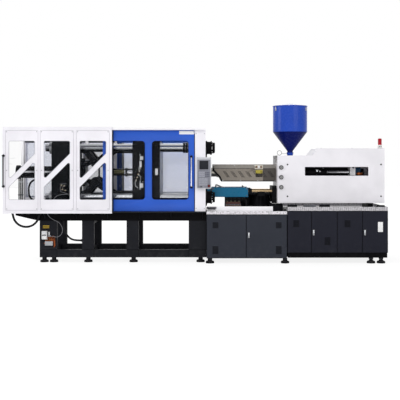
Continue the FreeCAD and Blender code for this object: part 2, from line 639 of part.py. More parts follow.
def column_covers():
    """White covers in front of and behind the edge of the fixed platen."""
    y = (-DOOR_FACE, -PLATEN_HALF - 5.0)
    z = (BED_TOP, HEADER_Z[0])
    inside = block((COVER_X[0] + 3.0, COVER_X[1] - 3.0), (y[0] + 3.0, y[1] + 1.0), (z[0] - 1.0, z[1] - 3.0))
    return front_and_rear([cut(block(COVER_X, y, z), inside)])


def window_halves(left, right, y):
    """Openings above and below a bar that rises at 45 degrees through the middle of a window."""
    middle = (WINDOW_Z[0] + WINDOW_Z[1]) / 2
    rise = (right - left) / 2
    half = WINDOW_BAR / 2
    above = [(left, middle - rise + half), (right, middle + rise + half), (right, WINDOW_Z[1]),
             (left, WINDOW_Z[1])]
    below = [(left, WINDOW_Z[0]), (right, WINDOW_Z[0]), (right, middle + rise - half),
             (left, middle - rise - half)]
    return [rounded_across(plate_xz(outline, y), BAR_CORNER) for outline in (above, below)]


def panel_windows(left_edges, widths, y, bars):
    """Window openings through a panel, split by a diagonal bar where the panel has one."""
    holes = []
    for left, width in zip(left_edges, widths):
        if bars:
            holes += window_halves(left, left + width, y)
        else:
            holes.append(rounded_window((left, left + width), WINDOW_Z, y, WINDOW_CORNER))
    return holes


def guard_window_edges():
    """Left edges and widths of the three windows of the white guard."""
    edges = [GUARD_X[0] + 127.0, GUARD_X[0] + 827.0, GUARD_X[0] + 1543.0]
    return edges, [516.0, 518.0, 524.0]


def door_window_edges():
    """Left edges and widths of the two windows of the blue door."""
    return [DOOR_X[0] + 125.0, DOOR_X[0] + 991.0], [717.0, 729.0]


def hung_panel(x, face, sheet, edges, bars):
    """Panel of the outer plane, with lips over the header rail and under the shelf."""
    y = (-face, -face + sheet)
    through = (y[0] - 1.0, y[1] + 1.0)
    panel = cut(block(x, y, (GUARD_BOTTOM, GUARD_TOP)), *panel_windows(*edges, through, bars))
    top = block(x, (y[1], -WEB_Y[1]), (HEADER_Z[1] + SLIDE_GAP - 1.0, GUARD_TOP))
    foot_lip = block(x, (y[1], -HEADER_FRONT + 26.0), (GUARD_BOTTOM, BED_TOP - SHELF - SLIDE_GAP))
    return [panel, top, foot_lip]


def panes(edges, back):
    """Clear sheets behind the windows of a panel."""
    lap = 20.0
    y = (-back, -back + PANE)
    z = (WINDOW_Z[0] - lap, WINDOW_Z[1] + lap)
    return [block((left - lap, left + width + lap), y, z) for left, width in zip(*edges)]


def handle(x, face, base):
    """Upright grab bar between two round posts."""
    bar_y = -face - HANDLE_REACH + HANDLE_BAR
    top = base + HANDLE_LENGTH
    bar = rod_z(HANDLE_BAR, (base - HANDLE_POST, top + HANDLE_POST), x, bar_y)
    posts = [rod_y(HANDLE_POST, (-face - HANDLE_REACH, -face), x, z) for z in (base, top)]
    return joined([bar] + posts)


def toggle_guard():
    """White sliding guard in front of the toggles, with its panes and grab bar."""
    panel = hung_panel(GUARD_X, GUARD_FACE, GUARD_SHEET, guard_window_edges(), True)
    bar = handle(GUARD_X[0] + 19.0, GUARD_FACE, GUARD_BOTTOM + 544.0)
    return panel + panes(guard_window_edges(), GUARD_BACK) + [bar]


def front_door():
    """Blue sliding door in front of the mould space, with its grab bar."""
    y = (-DOOR_FACE, -DOOR_BACK)
    through = (y[0] - 1.0, y[1] + 1.0)
    panel = block(DOOR_X, y, (BED_TOP + SLIDE_GAP, DOOR_TOP))
    bar = handle(DOOR_X[1] - 58.0, DOOR_FACE, BED_TOP + 488.0)
    return [cut(panel, *panel_windows(*door_window_edges(), through, False)), bar]


def front_door_panes():
    return panes(door_window_edges(), DOOR_BACK)


def rear_door():
    """Blue sliding door on the far side, in the outer plane, with its panes and grab bar."""
    panel = hung_panel(DOOR_X, GUARD_FACE, GUARD_SHEET, door_window_edges(), False)
    bar = handle(DOOR_X[1] - 58.0, GUARD_FACE, GUARD_BOTTOM + 544.0)
    return mirrored(panel + panes(door_window_edges(), GUARD_BACK) + [bar])


def rear_guard_span():
    return (GUARD_X[0] + 60.0, DOOR_X[0] + 120.0)


def rear_guard_edges():
    left, right = rear_guard_span()
    stile = 80.0
    pitch = (right - left - stile) / 3
    return [left + stile + pitch * step for step in range(3)], [pitch - stile] * 3


def rear_guard():
    """Fixed white panel behind the toggles, with its panes."""
    y = (-DOOR_FACE, -DOOR_BACK)
    through = (y[0] - 1.0, y[1] + 1.0)
    panel = block(rear_guard_span(), y, (BED_TOP, HEADER_Z[0]))
    panel = cut(panel, *panel_windows(*rear_guard_edges(), through, False))
    return mirrored([panel] + panes(rear_guard_edges(), DOOR_BACK))


def control_box():
    """Operator's panel: outer frame with a raised key field and a recessed screen."""
    x = (COVER_X[0] + 33.0, COVER_X[0] + 325.0)
    z = (AXIS_HEIGHT - 317.0, AXIS_HEIGHT + 311.0)
    y = (-DOOR_FACE - 85.0, -DOOR_FACE)
    body = block(x, y, z)
    body = rounded_across(body, 18.0)
    field = block((x[0] + 16.0, x[1] - 16.0), (y[0] - 14.0, y[0]), (z[0] + 16.0, z[1] - 48.0))
    screen = block((x[0] + 60.0, x[0] + 230.0), (y[0] - 15.0, y[0] - 6.0), (z[0] + 390.0, z[0] + 552.0))
    button_hole = rod_y(12.0, (y[0] - 15.0, y[0] + 20.0), x[0] + 246.0, z[0] + 54.0)
    return [cut(joined([body, field]), screen, button_hole)]


def stop_button():
    """Mushroom-headed stop button."""
    x = COVER_X[0] + 279.0
    z = AXIS_HEIGHT - 263.0
    face = -DOOR_FACE - 85.0 - 14.0
    stem = rod_y(12.0 - RUNNING_GAP, (face - 10.0, face + 22.0), x, z)
    cap = rod_y(22.0, (face - 26.0, face - 9.0), x, z)
    return [joined([stem, cap])]


# ---------------------------------------------------------------- cabinets
def carcass(x, floor, top, posts):
    """Open-fronted sheet cabinet: floor, roof, back, ends and posts between doors."""
    wall = CABINET_WALL
    front = -CABINET_WIDTH / 2 + LEAF + 2.0
    back = CABINET_WIDTH / 2
    inner_z = (floor + wall, top - wall)
    solids = [block(x, (front, back), (floor, floor + wall)),
              block(x, (front, back), (top - wall, top)),
              block((x[0], x[0] + wall), (front, back), inner_z),
              block((x[1] - wall, x[1]), (front, back), inner_z),
              block((x[0] + wall, x[1] - wall), (back - wall, back), inner_z)]
    for place in posts:
        solids.append(block((place - wall, place + wall), (front, front + 50.0), inner_z))
    return solids


def drive_cabinet():
    return carcass(DRIVE_X, BED_CLEARANCE, DRIVE_CABINET_TOP, [])


def power_cabinet():
    """Cabinet body on its recessed plinth."""
    floor = POWER_CLEARANCE + PLINTH_HEIGHT
    middle = power_seams()[1]
    inset = 12.0
    half = CABINET_WIDTH / 2 - inset
    x = (POWER_X[0] + inset, POWER_X[1] - inset)
    plinth = block(x, (-half, half), (POWER_CLEARANCE, floor))
    return [plinth] + carcass(POWER_X, floor, POWER_CABINET_TOP, [middle])


def power_seams():
    """Places where the doors of the power cabinet meet."""
    left = POWER_X[0]
    quarter = POWER_CABINET_LENGTH / 4
    return [left + quarter - 23.0, left + 2 * quarter - 10.0, left + 3 * quarter - 9.0]


def drive_seam():
    return (DRIVE_X[0] + DRIVE_X[1]) / 2 - 10.0


def door_edges():
    """Each cabinet door: name, span along X, height span, and the side its hinge is on."""
    half_gap = LEAF_GAP / 2
    low, high = BED_CLEARANCE + LEAF_GAP, DRIVE_CABINET_TOP - LEAF_GAP
    drive = drive_seam()
    doors = [("drive_door_left", (DRIVE_X[0] + 1.0, drive - half_gap), (low, high), -1),
             ("drive_door_right", (drive + half_gap, DRIVE_X[1] - 1.0), (low, high), 1)]
    floor = POWER_CLEARANCE + PLINTH_HEIGHT
    low, high = floor + LEAF_GAP, POWER_CABINET_TOP - LEAF_GAP
    one, two, three = power_seams()
    return doors + [("power_door_1", (POWER_X[0] + 1.0, one - half_gap), (low, high), -1),
                    ("power_door_2", (one + half_gap, two - half_gap), (low, high), 1),
                    ("power_door_3", (two + half_gap, three - half_gap), (low, high), -1),
                    ("power_door_4", (three + half_gap, POWER_X[1] - 1.0), (low, high), 1)]


def vent_slots(x, z_top, rows, y):
    """Louvre slots through a door, one under another."""
    left = x - VENT_WIDTH / 2 + 12.0
    return [block((left, left + VENT_WIDTH - 24.0), y, (z_top - 20.0 * (row + 1), z_top - 20.0 * row - 9.0))
            for row in range(rows)]


def door_vents():
    """Middle and top of each vent, for each door that has one."""
    top = DRIVE_CABINET_TOP - 156.0
    low = BED_CLEARANCE + 252.0
    power_top = POWER_CABINET_TOP - 184.0
    seams = power_seams()
    return {"drive_door_left": [(DRIVE_X[0] + 178.0, top, 6), (DRIVE_X[0] + 178.0, low, 8)],
            "drive_door_right": [(DRIVE_X[1] - 167.0, top, 6), (DRIVE_X[1] - 167.0, low, 8)],
            "power_door_1": [(POWER_X[0] + 174.0, power_top, 7)],
            "power_door_2": [(seams[0] + 320.0, POWER_CABINET_TOP - 525.0, 8)],
            "power_door_3": [(seams[1] + 204.0, power_top, 7)],
            "power_door_4": []}


def hinge_axis(x, side):
    """Place along X of a leaf's hinge: just inside the edge that it hangs on."""
    return x[0] + HINGE_RADIUS if side < 0 else x[1] - HINGE_RADIUS


def hinges(x, z, side, share):
    """Two strap hinges on the face of a leaf, each a round knuckle on a flat strap."""
    face = -CABINET_WIDTH / 2
    axis = hinge_axis(x, side)
    inward = axis - side * HINGE_STRAP
    shapes = []
    for middle in (z[0] + share * (z[1] - z[0]), z[1] - share * (z[1] - z[0])):
        span = (middle - HINGE_LENGTH / 2, middle + HINGE_LENGTH / 2)
        shapes.append(rod_z(HINGE_RADIUS, span, axis, face - HINGE_PROUD))
        shapes.append(block(sorted((axis, inward)), (face - 3.0, face), span))
    return shapes


def latch_places():
    """Turn latches: name, the door that carries it, and its centre."""
    seams = power_seams()
    power_z = POWER_CABINET_TOP - 437.0
    return [("drive_latch", "drive_door_right", drive_seam() + 50.0, DRIVE_CABINET_TOP - 419.0),
            ("power_latch_left", "power_door_2", seams[0] + 42.0, power_z),
            ("power_latch_right", "power_door_4", seams[2] + 50.0, power_z)]


def cabinet_doors():
    """Door leaves, each with its vents and the hole for its latch."""
    y = (-CABINET_WIDTH / 2, -CABINET_WIDTH / 2 + LEAF)
    past = (y[0] - 1.0, y[1] + 1.0)
    leaves = {}
    for name, x, z, side in door_edges():
        tools = []
        for vent_x, vent_top, rows in door_vents()[name]:
            tools += vent_slots(vent_x, vent_top, rows, past)
        for latch, door, latch_x, latch_z in latch_places():
            if door == name:
                tools.append(rod_y(10.0 + RUNNING_GAP, past, latch_x, latch_z))
        share = 0.14 if side < 0 else 0.22
        leaves[name] = [joined([cut(block(x, y, z), *tools)] + hinges(x, z, side, share))]
    return leaves


def latches():
    """Turn latches: a flat bar on a spindle, with a cam behind the door."""
    face = -CABINET_WIDTH / 2
    made = {}
    for name, door, x, z in latch_places():
        half = LATCH_LENGTH / 2
        bar = block((x - 15.0, x + 15.0), (face - 16.0, face - 0.5), (z - half, z + half))
        spindle = rod_y(10.0, (face - 1.0, face + LEAF + 1.0), x, z)
        made[name] = [joined([bar, spindle])]
    return made


def tray(x, base, lip, ends):
    """Tread-plate tray on a cabinet, with upstands on its outer edges."""
    half = CABINET_WIDTH / 2
    sheet = 8.0
    z = (base + TRAY_SHEET, base + lip)
    solids = [block(x, (-half, half), (base, base + TRAY_SHEET))]
    solids += front_and_rear([block(x, (-half, -half + sheet), z)])
    for end in ends:
        span = sorted((end, end + sheet * (1 if end == x[0] else -1)))
        solids.append(block(span, (-half + sheet, half - sheet), z))
    return solids


def drip_trays():
    return (tray(DRIVE_X, DRIVE_CABINET_TOP, DRIVE_TRAY_LIP, [DRIVE_X[0]])
            + tray(POWER_X, POWER_CABINET_TOP, POWER_TRAY_LIP, [POWER_X[1]]))


def pump_set():
    """Electric motor and pump on a skid, inside the drive cabinet."""
    floor = BED_CLEARANCE + CABINET_WALL
    x = DRIVE_X[0] + 400.0
    skid = block((x, x + 900.0), (-250.0, 250.0), (floor, floor + 80.0))
    motor = rod_x(190.0, (x + 60.0, x + 560.0), 0, floor + 80.0 + 190.0)
    pump = rod_x(95.0, (x + 560.0, x + 840.0), 0, floor + 80.0 + 190.0)
    saddle = block((x + 120.0, x + 500.0), (-120.0, 120.0), (floor + 80.0, floor + 200.0))
    return [skid, joined([motor, pump, saddle])]


def electric_panel():
    """Mounting plate with its control gear, on the back wall of the power cabinet."""
    floor = POWER_CLEARANCE + PLINTH_HEIGHT + CABINET_WALL
    back = CABINET_WIDTH / 2 - CABINET_WALL
    x = (POWER_X[0] + 120.0, POWER_X[1] - 120.0)
    plate = block(x, (back - 12.0, back), (floor + 40.0, POWER_CABINET_TOP - CABINET_WALL - 40.0))
    gear = []
    for step in range(6):
        left = x[0] + 80.0 + step * 270.0
        gear.append(block((left, left + 180.0), (back - 150.0, back - 12.0), (floor + 380.0, floor + 640.0)))
    return [plate] + gear


# ---------------------------------------------------------------- injection end, standing still
SWIVEL_X = DRIVE_X[0] + 1130.0
BEAM_X = (DRIVE_X[0] + 114.0, DRIVE_X[0] + 858.0)
ROD_X = (BEAM_X[1], RIGHT_END - 200.0)


def carriage_rods():
    """Carriage rods on a round cast base with a saddle, and on a rear support."""
    base = rod_z(207.0, (DRIVE_FLOOR + 90.0, ROD_HEIGHT - 62.0), SWIVEL_X, 0)
    sole = rod_z(240.0, (DRIVE_FLOOR, DRIVE_FLOOR + 90.0), SWIVEL_X, 0)
    saddle = block((SWIVEL_X - 70.0, SWIVEL_X + 70.0), (-ROD_Y - 50.0, ROD_Y + 50.0),
                   (ROD_HEIGHT - 100.0, ROD_HEIGHT - 10.0))
    rear_x = (RIGHT_END - 300.0, RIGHT_END - 200.0)
    rear = block(rear_x, (-ROD_Y - 60.0, ROD_Y + 60.0), (POWER_FLOOR, ROD_HEIGHT + 45.0))
    grooves = [rod_x(ROD_RADIUS, (BEAM_X[0], RIGHT_END), y, ROD_HEIGHT) for y in (-ROD_Y, ROD_Y)]
    rods = [rod_x(ROD_RADIUS, ROD_X, y, ROD_HEIGHT) for y in (-ROD_Y, ROD_Y)]
    return [cut(joined([base, sole, saddle]), *grooves), cut(rear, *grooves)] + rods


def valve_block():
    """Hydraulic manifold with its valves, on feet in the tray."""
    x = (DRIVE_X[0] + 383.0, DRIVE_X[0] + 716.0)
    low = DRIVE_FLOOR + 95.0
    manifold = block(x, (-250.0, 250.0), (low, low + 70.0))
    legs = [block((left, left + 50.0), (y, y + 50.0), (DRIVE_FLOOR, low))
            for left in (x[0] + 20.0, x[1] - 70.0) for y in (-230.0, 180.0)]
    valves = [block((x[0] + 12.0 + 82.0 * step, x[0] + 76.0 + 82.0 * step), (-225.0, 225.0),
                    (low + 70.0, ROD_HEIGHT - 122.0)) for step in range(4)]
    return [manifold] + legs + valves


def seat_cylinders():
    """Teal seat cylinders that tie the injection end to the fixed platen."""
    z = (ROD_HEIGHT - 122.0, ROD_HEIGHT + 74.0)
    body = block(BEAM_X, (-ROD_Y - 50.0, -ROD_Y + 50.0), z)
    ends = [e for e in body.Edges if abs(e.tangentAt(e.FirstParameter).x) > 0.9]
    body = body.makeFillet(10.0, ends)
    rod = rod_x(38.0, (FIXED_X[1], BEAM_X[0]), -ROD_Y, ROD_HEIGHT)
    return front_and_rear([body, rod])


# ---------------------------------------------------------------- injection carriage
SEAT_X = (HOUSING_X[0] - 92.0, HOUSING_X[0] + 58.0)
DECK_Z = (ROD_HEIGHT + 53.0, ROD_HEIGHT + 103.0)
FEED_X = (HOPPER_X - 130.0, HOPPER_X + 132.0)
BEAM_REST_X = HOUSING_X[0] + 1513.0
INJECTION_STROKE = 300.0
CYLINDER_Y = 270.0


def carriage_base():
    """Carriage casting: front seat, deck with outriggers and rear bosses, all on the rods."""
    half = ROD_Y + 50.0
    seat = block(SEAT_X, (-half, half), (ROD_HEIGHT - 249.0, DECK_Z[1]))
    deck = block((SEAT_X[1], HOUSING_X[0] + 1783.0), (-half, half), DECK_Z)
    rear_x = (HOUSING_X[0] + 1333.0, HOUSING_X[0] + 1483.0)
    rear = block(rear_x, (-half, half), (ROD_HEIGHT - 57.0, DECK_Z[0]))
    reach = HOUSING_HALF - HOUSING_SHEET
    arms = [block((x, x + 40.0), (-reach, reach), DECK_Z)
            for x in (HOUSING_X[0] + 120.0, HOUSING_X[0] + 900.0, HOUSING_X[0] + 1740.0)]
    rods = [rod_x(ROD_RADIUS + RUNNING_GAP, (SEAT_X[0] - 1.0, RIGHT_END), y, ROD_HEIGHT)
            for y in (-ROD_Y, ROD_Y)]
    under = block((SEAT_X[0] - 1.0, SEAT_X[1] + 1.0), (-half + 130.0, half - 130.0),
                  (ROD_HEIGHT - 250.0, ROD_HEIGHT - 60.0))
    return [cut(joined([seat, deck, rear] + arms), under, *rods)]


def barrel():
    """Barrel with feed block, heater bands and nozzle."""
    nozzle_tip = FIXED_X[0] + LOCATING_DEPTH + 10.0
    start = nozzle_tip + 100.0
    body = rod_x(BARREL_RADIUS, (start, FEED_X[0]), 0, AXIS_HEIGHT)
    head = Part.makeCone(26.0, BARREL_RADIUS - 25.0, 70.0,
                         Vector(nozzle_tip + 30.0, 0, AXIS_HEIGHT), Vector(1, 0, 0))
    tip = rod_x(20.0, (nozzle_tip, nozzle_tip + 30.0), 0, AXIS_HEIGHT)
    feed = block(FEED_X, (-210.0, 210.0), (DECK_Z[1], AXIS_HEIGHT + 195.0))
    bands = [rod_x(BARREL_RADIUS + 12.0, (x, x + 190.0), 0, AXIS_HEIGHT)
             for x in [start + 330.0 + 215.0 * step for step in range(6)]]
    bore = rod_x(BARREL_BORE, (start + 20.0, FEED_X[1] + 1.0), 0, AXIS_HEIGHT)
    jet = rod_x(6.0, (nozzle_tip - 1.0, start + 21.0), 0, AXIS_HEIGHT)
    throat = rod_z(FEED_BORE, (AXIS_HEIGHT, AXIS_HEIGHT + 196.0), HOPPER_X, 0)
    return [cut(joined([body, head, tip, feed] + bands), bore, jet, throat)]


def barrel_cover():
    """Folded guard over the barrel, open below, with a raked end, slanted slots and a catch."""
    x0, x1 = BEAM_X[0] + 11.0, HOUSING_X[0]
    low, high = AXIS_HEIGHT - 192.0, AXIS_HEIGHT + 163.0
    sheet = 5.0
    outline = [(x0, high), (x1, high), (x1, low), (x0 + 177.0, low), (x0 + 129.0, low + 91.0),
               (x0 + 10.0, low + 216.0), (x0, low + 239.0)]
    skin = plate_xz(outline, (-200.0, 200.0))
    inside = block((x0 - 1.0, x1 + 1.0), (-200.0 + sheet, 200.0 - sheet), (low - 1.0, high - sheet))
    slots = []
    for group in range(7):
        left = x0 + 245.0 + group * 155.0
        for row in range(4):
            centre_x = left + row * 22.0
            top = low + 210.0 - row * 32.0
            slot = [(centre_x, top), (centre_x + 11.0, top), (centre_x + 29.0, top - 24.0),
                    (centre_x + 18.0, top - 24.0)]
            slots.append(plate_xz(slot, (-201.0, 201.0)))
    catch = block((x0 + 874.0, x0 + 1050.0), (-216.0, -200.0), (AXIS_HEIGHT + 68.0, AXIS_HEIGHT + 151.0))
    knobs = [rod_y(22.0, (-236.0, -216.0), x0 + x, AXIS_HEIGHT + 110.0) for x in (914.0, 1010.0)]
    return [joined([cut(skin, inside, Part.makeCompound(slots)), catch] + knobs)]


def housing_outline():
    """Side outline of the housing: a low front roof that steps up over a slope."""
    x0, x1 = HOUSING_X
    return [(x0, HOUSING_BOTTOM), (x1, HOUSING_BOTTOM), (x1, HOUSING_TOP), (x0 + 825.0, HOUSING_TOP),
            (x0 + 703.0, HOUSING_LOW_TOP), (x0, HOUSING_LOW_TOP)]


def injection_housing():
    """White sheet housing: side panels with a long slot, end panels and a stepped roof."""
    x0, x1 = HOUSING_X
    sheet = HOUSING_SHEET
    y = (-HOUSING_HALF, -HOUSING_HALF + sheet)
    slot = rounded_window((x0 + 563.0, x0 + 1846.0), (AXIS_HEIGHT - 61.0, AXIS_HEIGHT + 110.0),
                          (y[0] - 1.0, y[1] + 1.0), 12.0)
    side = cut(plate_xz(housing_outline(), y), slot)
    inner = (y[1], -y[1])
    roof = plate_xz([(x0, HOUSING_LOW_TOP), (x0 + 703.0, HOUSING_LOW_TOP), (x0 + 825.0, HOUSING_TOP),
                     (x1, HOUSING_TOP), (x1, HOUSING_TOP - sheet), (x0 + 828.0, HOUSING_TOP - sheet),
                     (x0 + 706.0, HOUSING_LOW_TOP - sheet), (x0, HOUSING_LOW_TOP - sheet)], inner)
    roof = cut(roof, rod_z(HOPPER_NECK + 14.0, (HOUSING_LOW_TOP - 20.0, HOUSING_LOW_TOP + 1.0), HOPPER_X, 0))
    left = block((x0, x0 + sheet), inner, (HOUSING_BOTTOM, HOUSING_LOW_TOP - sheet))
    gate = block((x0 - 1.0, x0 + sheet + 1.0), (-ROD_Y - 52.0, ROD_Y + 52.0),
                 (HOUSING_BOTTOM - 1.0, DECK_Z[1] + 2.0))
    barrel_hole = rod_x(BARREL_RADIUS + 25.0, (x0 - 1.0, x0 + sheet + 1.0), 0, AXIS_HEIGHT)
    left = cut(left, gate, barrel_hole)
    right = block((x1 - sheet, x1), inner, (HOUSING_BOTTOM, HOUSING_TOP - sheet))
    gauges = [rod_y(GAUGE_RADIUS, (y[0] - 26.0, y[0]), x0 + 76.0, AXIS_HEIGHT + z)
              for z in (104.0, -96.0, -299.0)]
    return front_and_rear([side]) + [roof, left, right] + gauges


def hopper():
    """Material hopper: cylinder, cone, neck and gate box down to the feed block."""
    r, neck, sheet = HOPPER_RADIUS, HOPPER_NECK, HOPPER_SHEET
    shell = [(r, HOPPER_TOP), (r, HOPPER_SHOULDER), (neck, HOPPER_THROAT), (neck, HOPPER_THROAT - 38.0),
             (neck - sheet, HOPPER_THROAT - 38.0), (neck - sheet, HOPPER_THROAT + 1.0),
             (r - sheet, HOPPER_SHOULDER + 1.0), (r - sheet, HOPPER_TOP)]
    body = turned(shell, HOPPER_X, 0)
    gate_z = (HOPPER_THROAT - 74.0, HOPPER_THROAT - 38.0)
    box = rod_z(neck + 9.0, gate_z, HOPPER_X, 0)
    bore = rod_z(FEED_BORE, (gate_z[0] - 1.0, gate_z[1] + 1.0), HOPPER_X, 0)
    slit = block((HOPPER_X - 80.0, HOPPER_X + 80.0), (-45.0, 45.0), (gate_z[0] + 14.0, gate_z[0] + 22.0))
    pipe = rod_z(neck, (AXIS_HEIGHT + 195.0, gate_z[0]), HOPPER_X, 0)
    pipe_bore = rod_z(FEED_BORE, (AXIS_HEIGHT + 194.0, gate_z[0] + 1.0), HOPPER_X, 0)
    return [body, cut(box, bore, slit), cut(pipe, pipe_bore)]


def hopper_lid():
    """Shallow conical lid that rests on the hopper's rim."""
    r = HOPPER_RADIUS + 4.0
    profile = [(0, HOPPER_TOP + LID_RISE), (r, HOPPER_TOP + 4.0), (r, HOPPER_TOP), (0, HOPPER_TOP)]
    return [turned(profile, HOPPER_X, 0)]


def feed_gate():
    """Sliding shut-off blade with a wire pull loop."""
    z = HOPPER_THROAT - 59.0
    blade = block((HOPPER_X - 178.0, HOPPER_X + 60.0), (-43.0, 43.0), (z, z + 6.0))
    blade = cut(blade, rod_z(FEED_BORE, (z - 1.0, z + 7.0), HOPPER_X, 0))
    loop = Part.makeTorus(46.0, 4.0, Vector(HOPPER_X - 222.0, 0, z + 20.0), Vector(0, 1, 0))
    return [joined([blade, loop])]


def warning_lamp():
    """Red warning lamp on a short white socket."""
    x, y = HOUSING_X[1] - 44.0, -300.0
    base = HOUSING_TOP
    profile = [(0, base), (42.0, base), (42.0, base + 72.0), (38.0, base + 80.0), (38.0, base + 196.0),
               (28.0, base + 207.0), (0, base + 207.0)]
    return [turned(profile, x, y)]


def injection_cylinders():
    """Twin injection cylinders behind the feed block, hollow for their pistons."""
    x = (FEED_X[1], FEED_X[1] + 590.0)
    tube = rod_x(85.0, x, -CYLINDER_Y, AXIS_HEIGHT)
    bore = rod_x(62.0, (x[0] + 40.0, x[1] - 60.0), -CYLINDER_Y, AXIS_HEIGHT)
    gland = rod_x(36.0 + RUNNING_GAP, (x[1] - 61.0, x[1] + 1.0), -CYLINDER_Y, AXIS_HEIGHT)
    foot_plate = block((x[0], x[0] + 60.0), (-ROD_Y - 50.0, -150.0), (DECK_Z[1], AXIS_HEIGHT))
    clamp = block((x[1] - 90.0, x[1] - 30.0), (-ROD_Y - 50.0, -180.0), (DECK_Z[1], AXIS_HEIGHT))
    return front_and_rear([cut(joined([tube, foot_plate, clamp]), bore, gland)])


def drive_beam():
    """Thrust beam on the piston rods, with the screw motor behind it."""
    x = (BEAM_REST_X, BEAM_REST_X + 110.0)
    beam = block(x, (-CYLINDER_Y - 95.0, CYLINDER_Y + 95.0), (AXIS_HEIGHT - 170.0, AXIS_HEIGHT + 170.0))
    motor = joined([rod_x(125.0, (x[1], x[1] + 150.0), 0, AXIS_HEIGHT),
                    rod_x(70.0, (x[1] + 150.0, x[1] + 230.0), 0, AXIS_HEIGHT)])
    chuck = rod_x(34.0 + RUNNING_GAP, (x[0] - 1.0, x[1] + 80.0), 0, AXIS_HEIGHT)
    solids = [cut(beam, chuck), cut(motor, chuck)]
    start = FEED_X[1] + 50.0 + INJECTION_STROKE
    rod = rod_x(36.0, (start, x[0]), -CYLINDER_Y, AXIS_HEIGHT)
    piston = rod_x(62.0 - RUNNING_GAP, (start, start + 60.0), -CYLINDER_Y, AXIS_HEIGHT)
    return solids + front_and_rear([joined([rod, piston])])


def screw():
    """Plasticising screw: shank in the motor, screw body in the barrel and a pointed tip."""
    tip = FIXED_X[0] + LOCATING_DEPTH + 160.0 + INJECTION_STROKE
    radius = BARREL_BORE - RUNNING_GAP
    body = rod_x(radius, (tip + 60.0, FEED_X[1]), 0, AXIS_HEIGHT)
    point = Part.makeCone(6.0, radius, 60.0, Vector(tip, 0, AXIS_HEIGHT), Vector(1, 0, 0))
    shank = rod_x(34.0, (FEED_X[1], BEAM_REST_X + 110.0 + 70.0), 0, AXIS_HEIGHT)
    return [joined([body, point, shank])]


# ---------------------------------------------------------------- hoses and lubrication
def route_from(x, points):
    """Route whose places along X are measured from the piece that carries it."""
    return [(x + along, z) for along, z in points]


CORD_PLANE = -735.0
CONDUIT_DIAMETER = 44.0
CONDUIT_ROUTE = route_from(GUARD_X[0], [(165, 985), (181, 896), (231, 810), (317, 742), (434, 715),
                                        (552, 740), (639, 806), (689, 893), (705, 981)])
CABLE_PLANE = -700.0
CABLE_DIAMETER = 12.0
CABLE_ROUTE = route_from(BED_X[0], [(149, 1001), (191, 924), (281, 861), (383, 820), (450, 746),
                                    (476, 649), (445, 554), (358, 504), (269, 530), (174, 530)])
BAY_PLANE = -610.0
BAY_HOSE_DIAMETER = 38.0
BAY_ROUTE = route_from(pillar_spans()[1][0], [(-378, 825), (-378, 700), (-336, 574), (-256, 478),
                                              (-154, 437), (-28, 437)])
CLAMP_HOSE_PLANE = -60.0
CLAMP_HOSE_DIAMETER = 40.0
CLAMP_HOSE_ROUTE = route_from(TAIL_X[0], [(-315, 1668), (-435, 1668), (-530, 1618), (-578, 1522),
                                          (-582, 1400), (-562, 1292), (-492, 1228), (-370, 1212),
                                          (-60, 1212)])


def cord_tube(name, route, plane, diameter):
    """Round tube along straight runs joined by tangent arcs, in one upright plane."""
    points = [Vector(x, plane, z) for x, z in route]
    edges = []
    radii = []
    start = points[0]
    for before, corner, after in zip(points, points[1:], points[2:]):
        into = (corner - before).normalize()
        out = (after - corner).normalize()
        half_turn = into.getAngle(out) / 2
        inset = 0.45 * min((corner - before).Length, (after - corner).Length)
        radii.append(inset / tan(half_turn))
        first = corner - into * inset
        last = corner + out * inset
        bulge = (out - into).normalize()
        centre = corner + bulge * (radii[-1] / cos(half_turn))
        middle = centre - bulge * radii[-1]
        edges.append(Part.makeLine(start, first))
        edges.append(Part.Arc(first, middle, last).toShape())
        start = last
    edges.append(Part.makeLine(start, points[-1]))
    path = Part.Wire(edges)
    ring = Part.Wire(Part.makeCircle(diameter / 2, points[0], points[1] - points[0]))
    tube = path.makePipeShell([ring], True, False)
    expected = pi * diameter**2 / 4 * path.Length
    print(name, "radii", [round(r) for r in radii], "length", round(path.Length),
          "volume ratio", round(tube.Volume / expected, 4))
    return [Part.Solid(tube)] if tube.ShapeType == "Shell" else [tube]


def gland(route_end, route_next, plane, diameter, reach):
    """Tapered gland on the end of a cord, pointing back along the cord's first run."""
    end = Vector(route_end[0], plane, route_end[1])
    back = (end - Vector(route_next[0], plane, route_next[1])).normalize()
    return Part.makeCone(diameter * 0.62, diameter * 0.85, reach, end, back)


def under_shelf(shape):
    """The part of a gland that is below the guard shelf."""
    low = BED_TOP - SHELF
    return shape.common(block((LEFT_END, RIGHT_END), (-GUARD_FACE, GUARD_FACE), (0, low)))


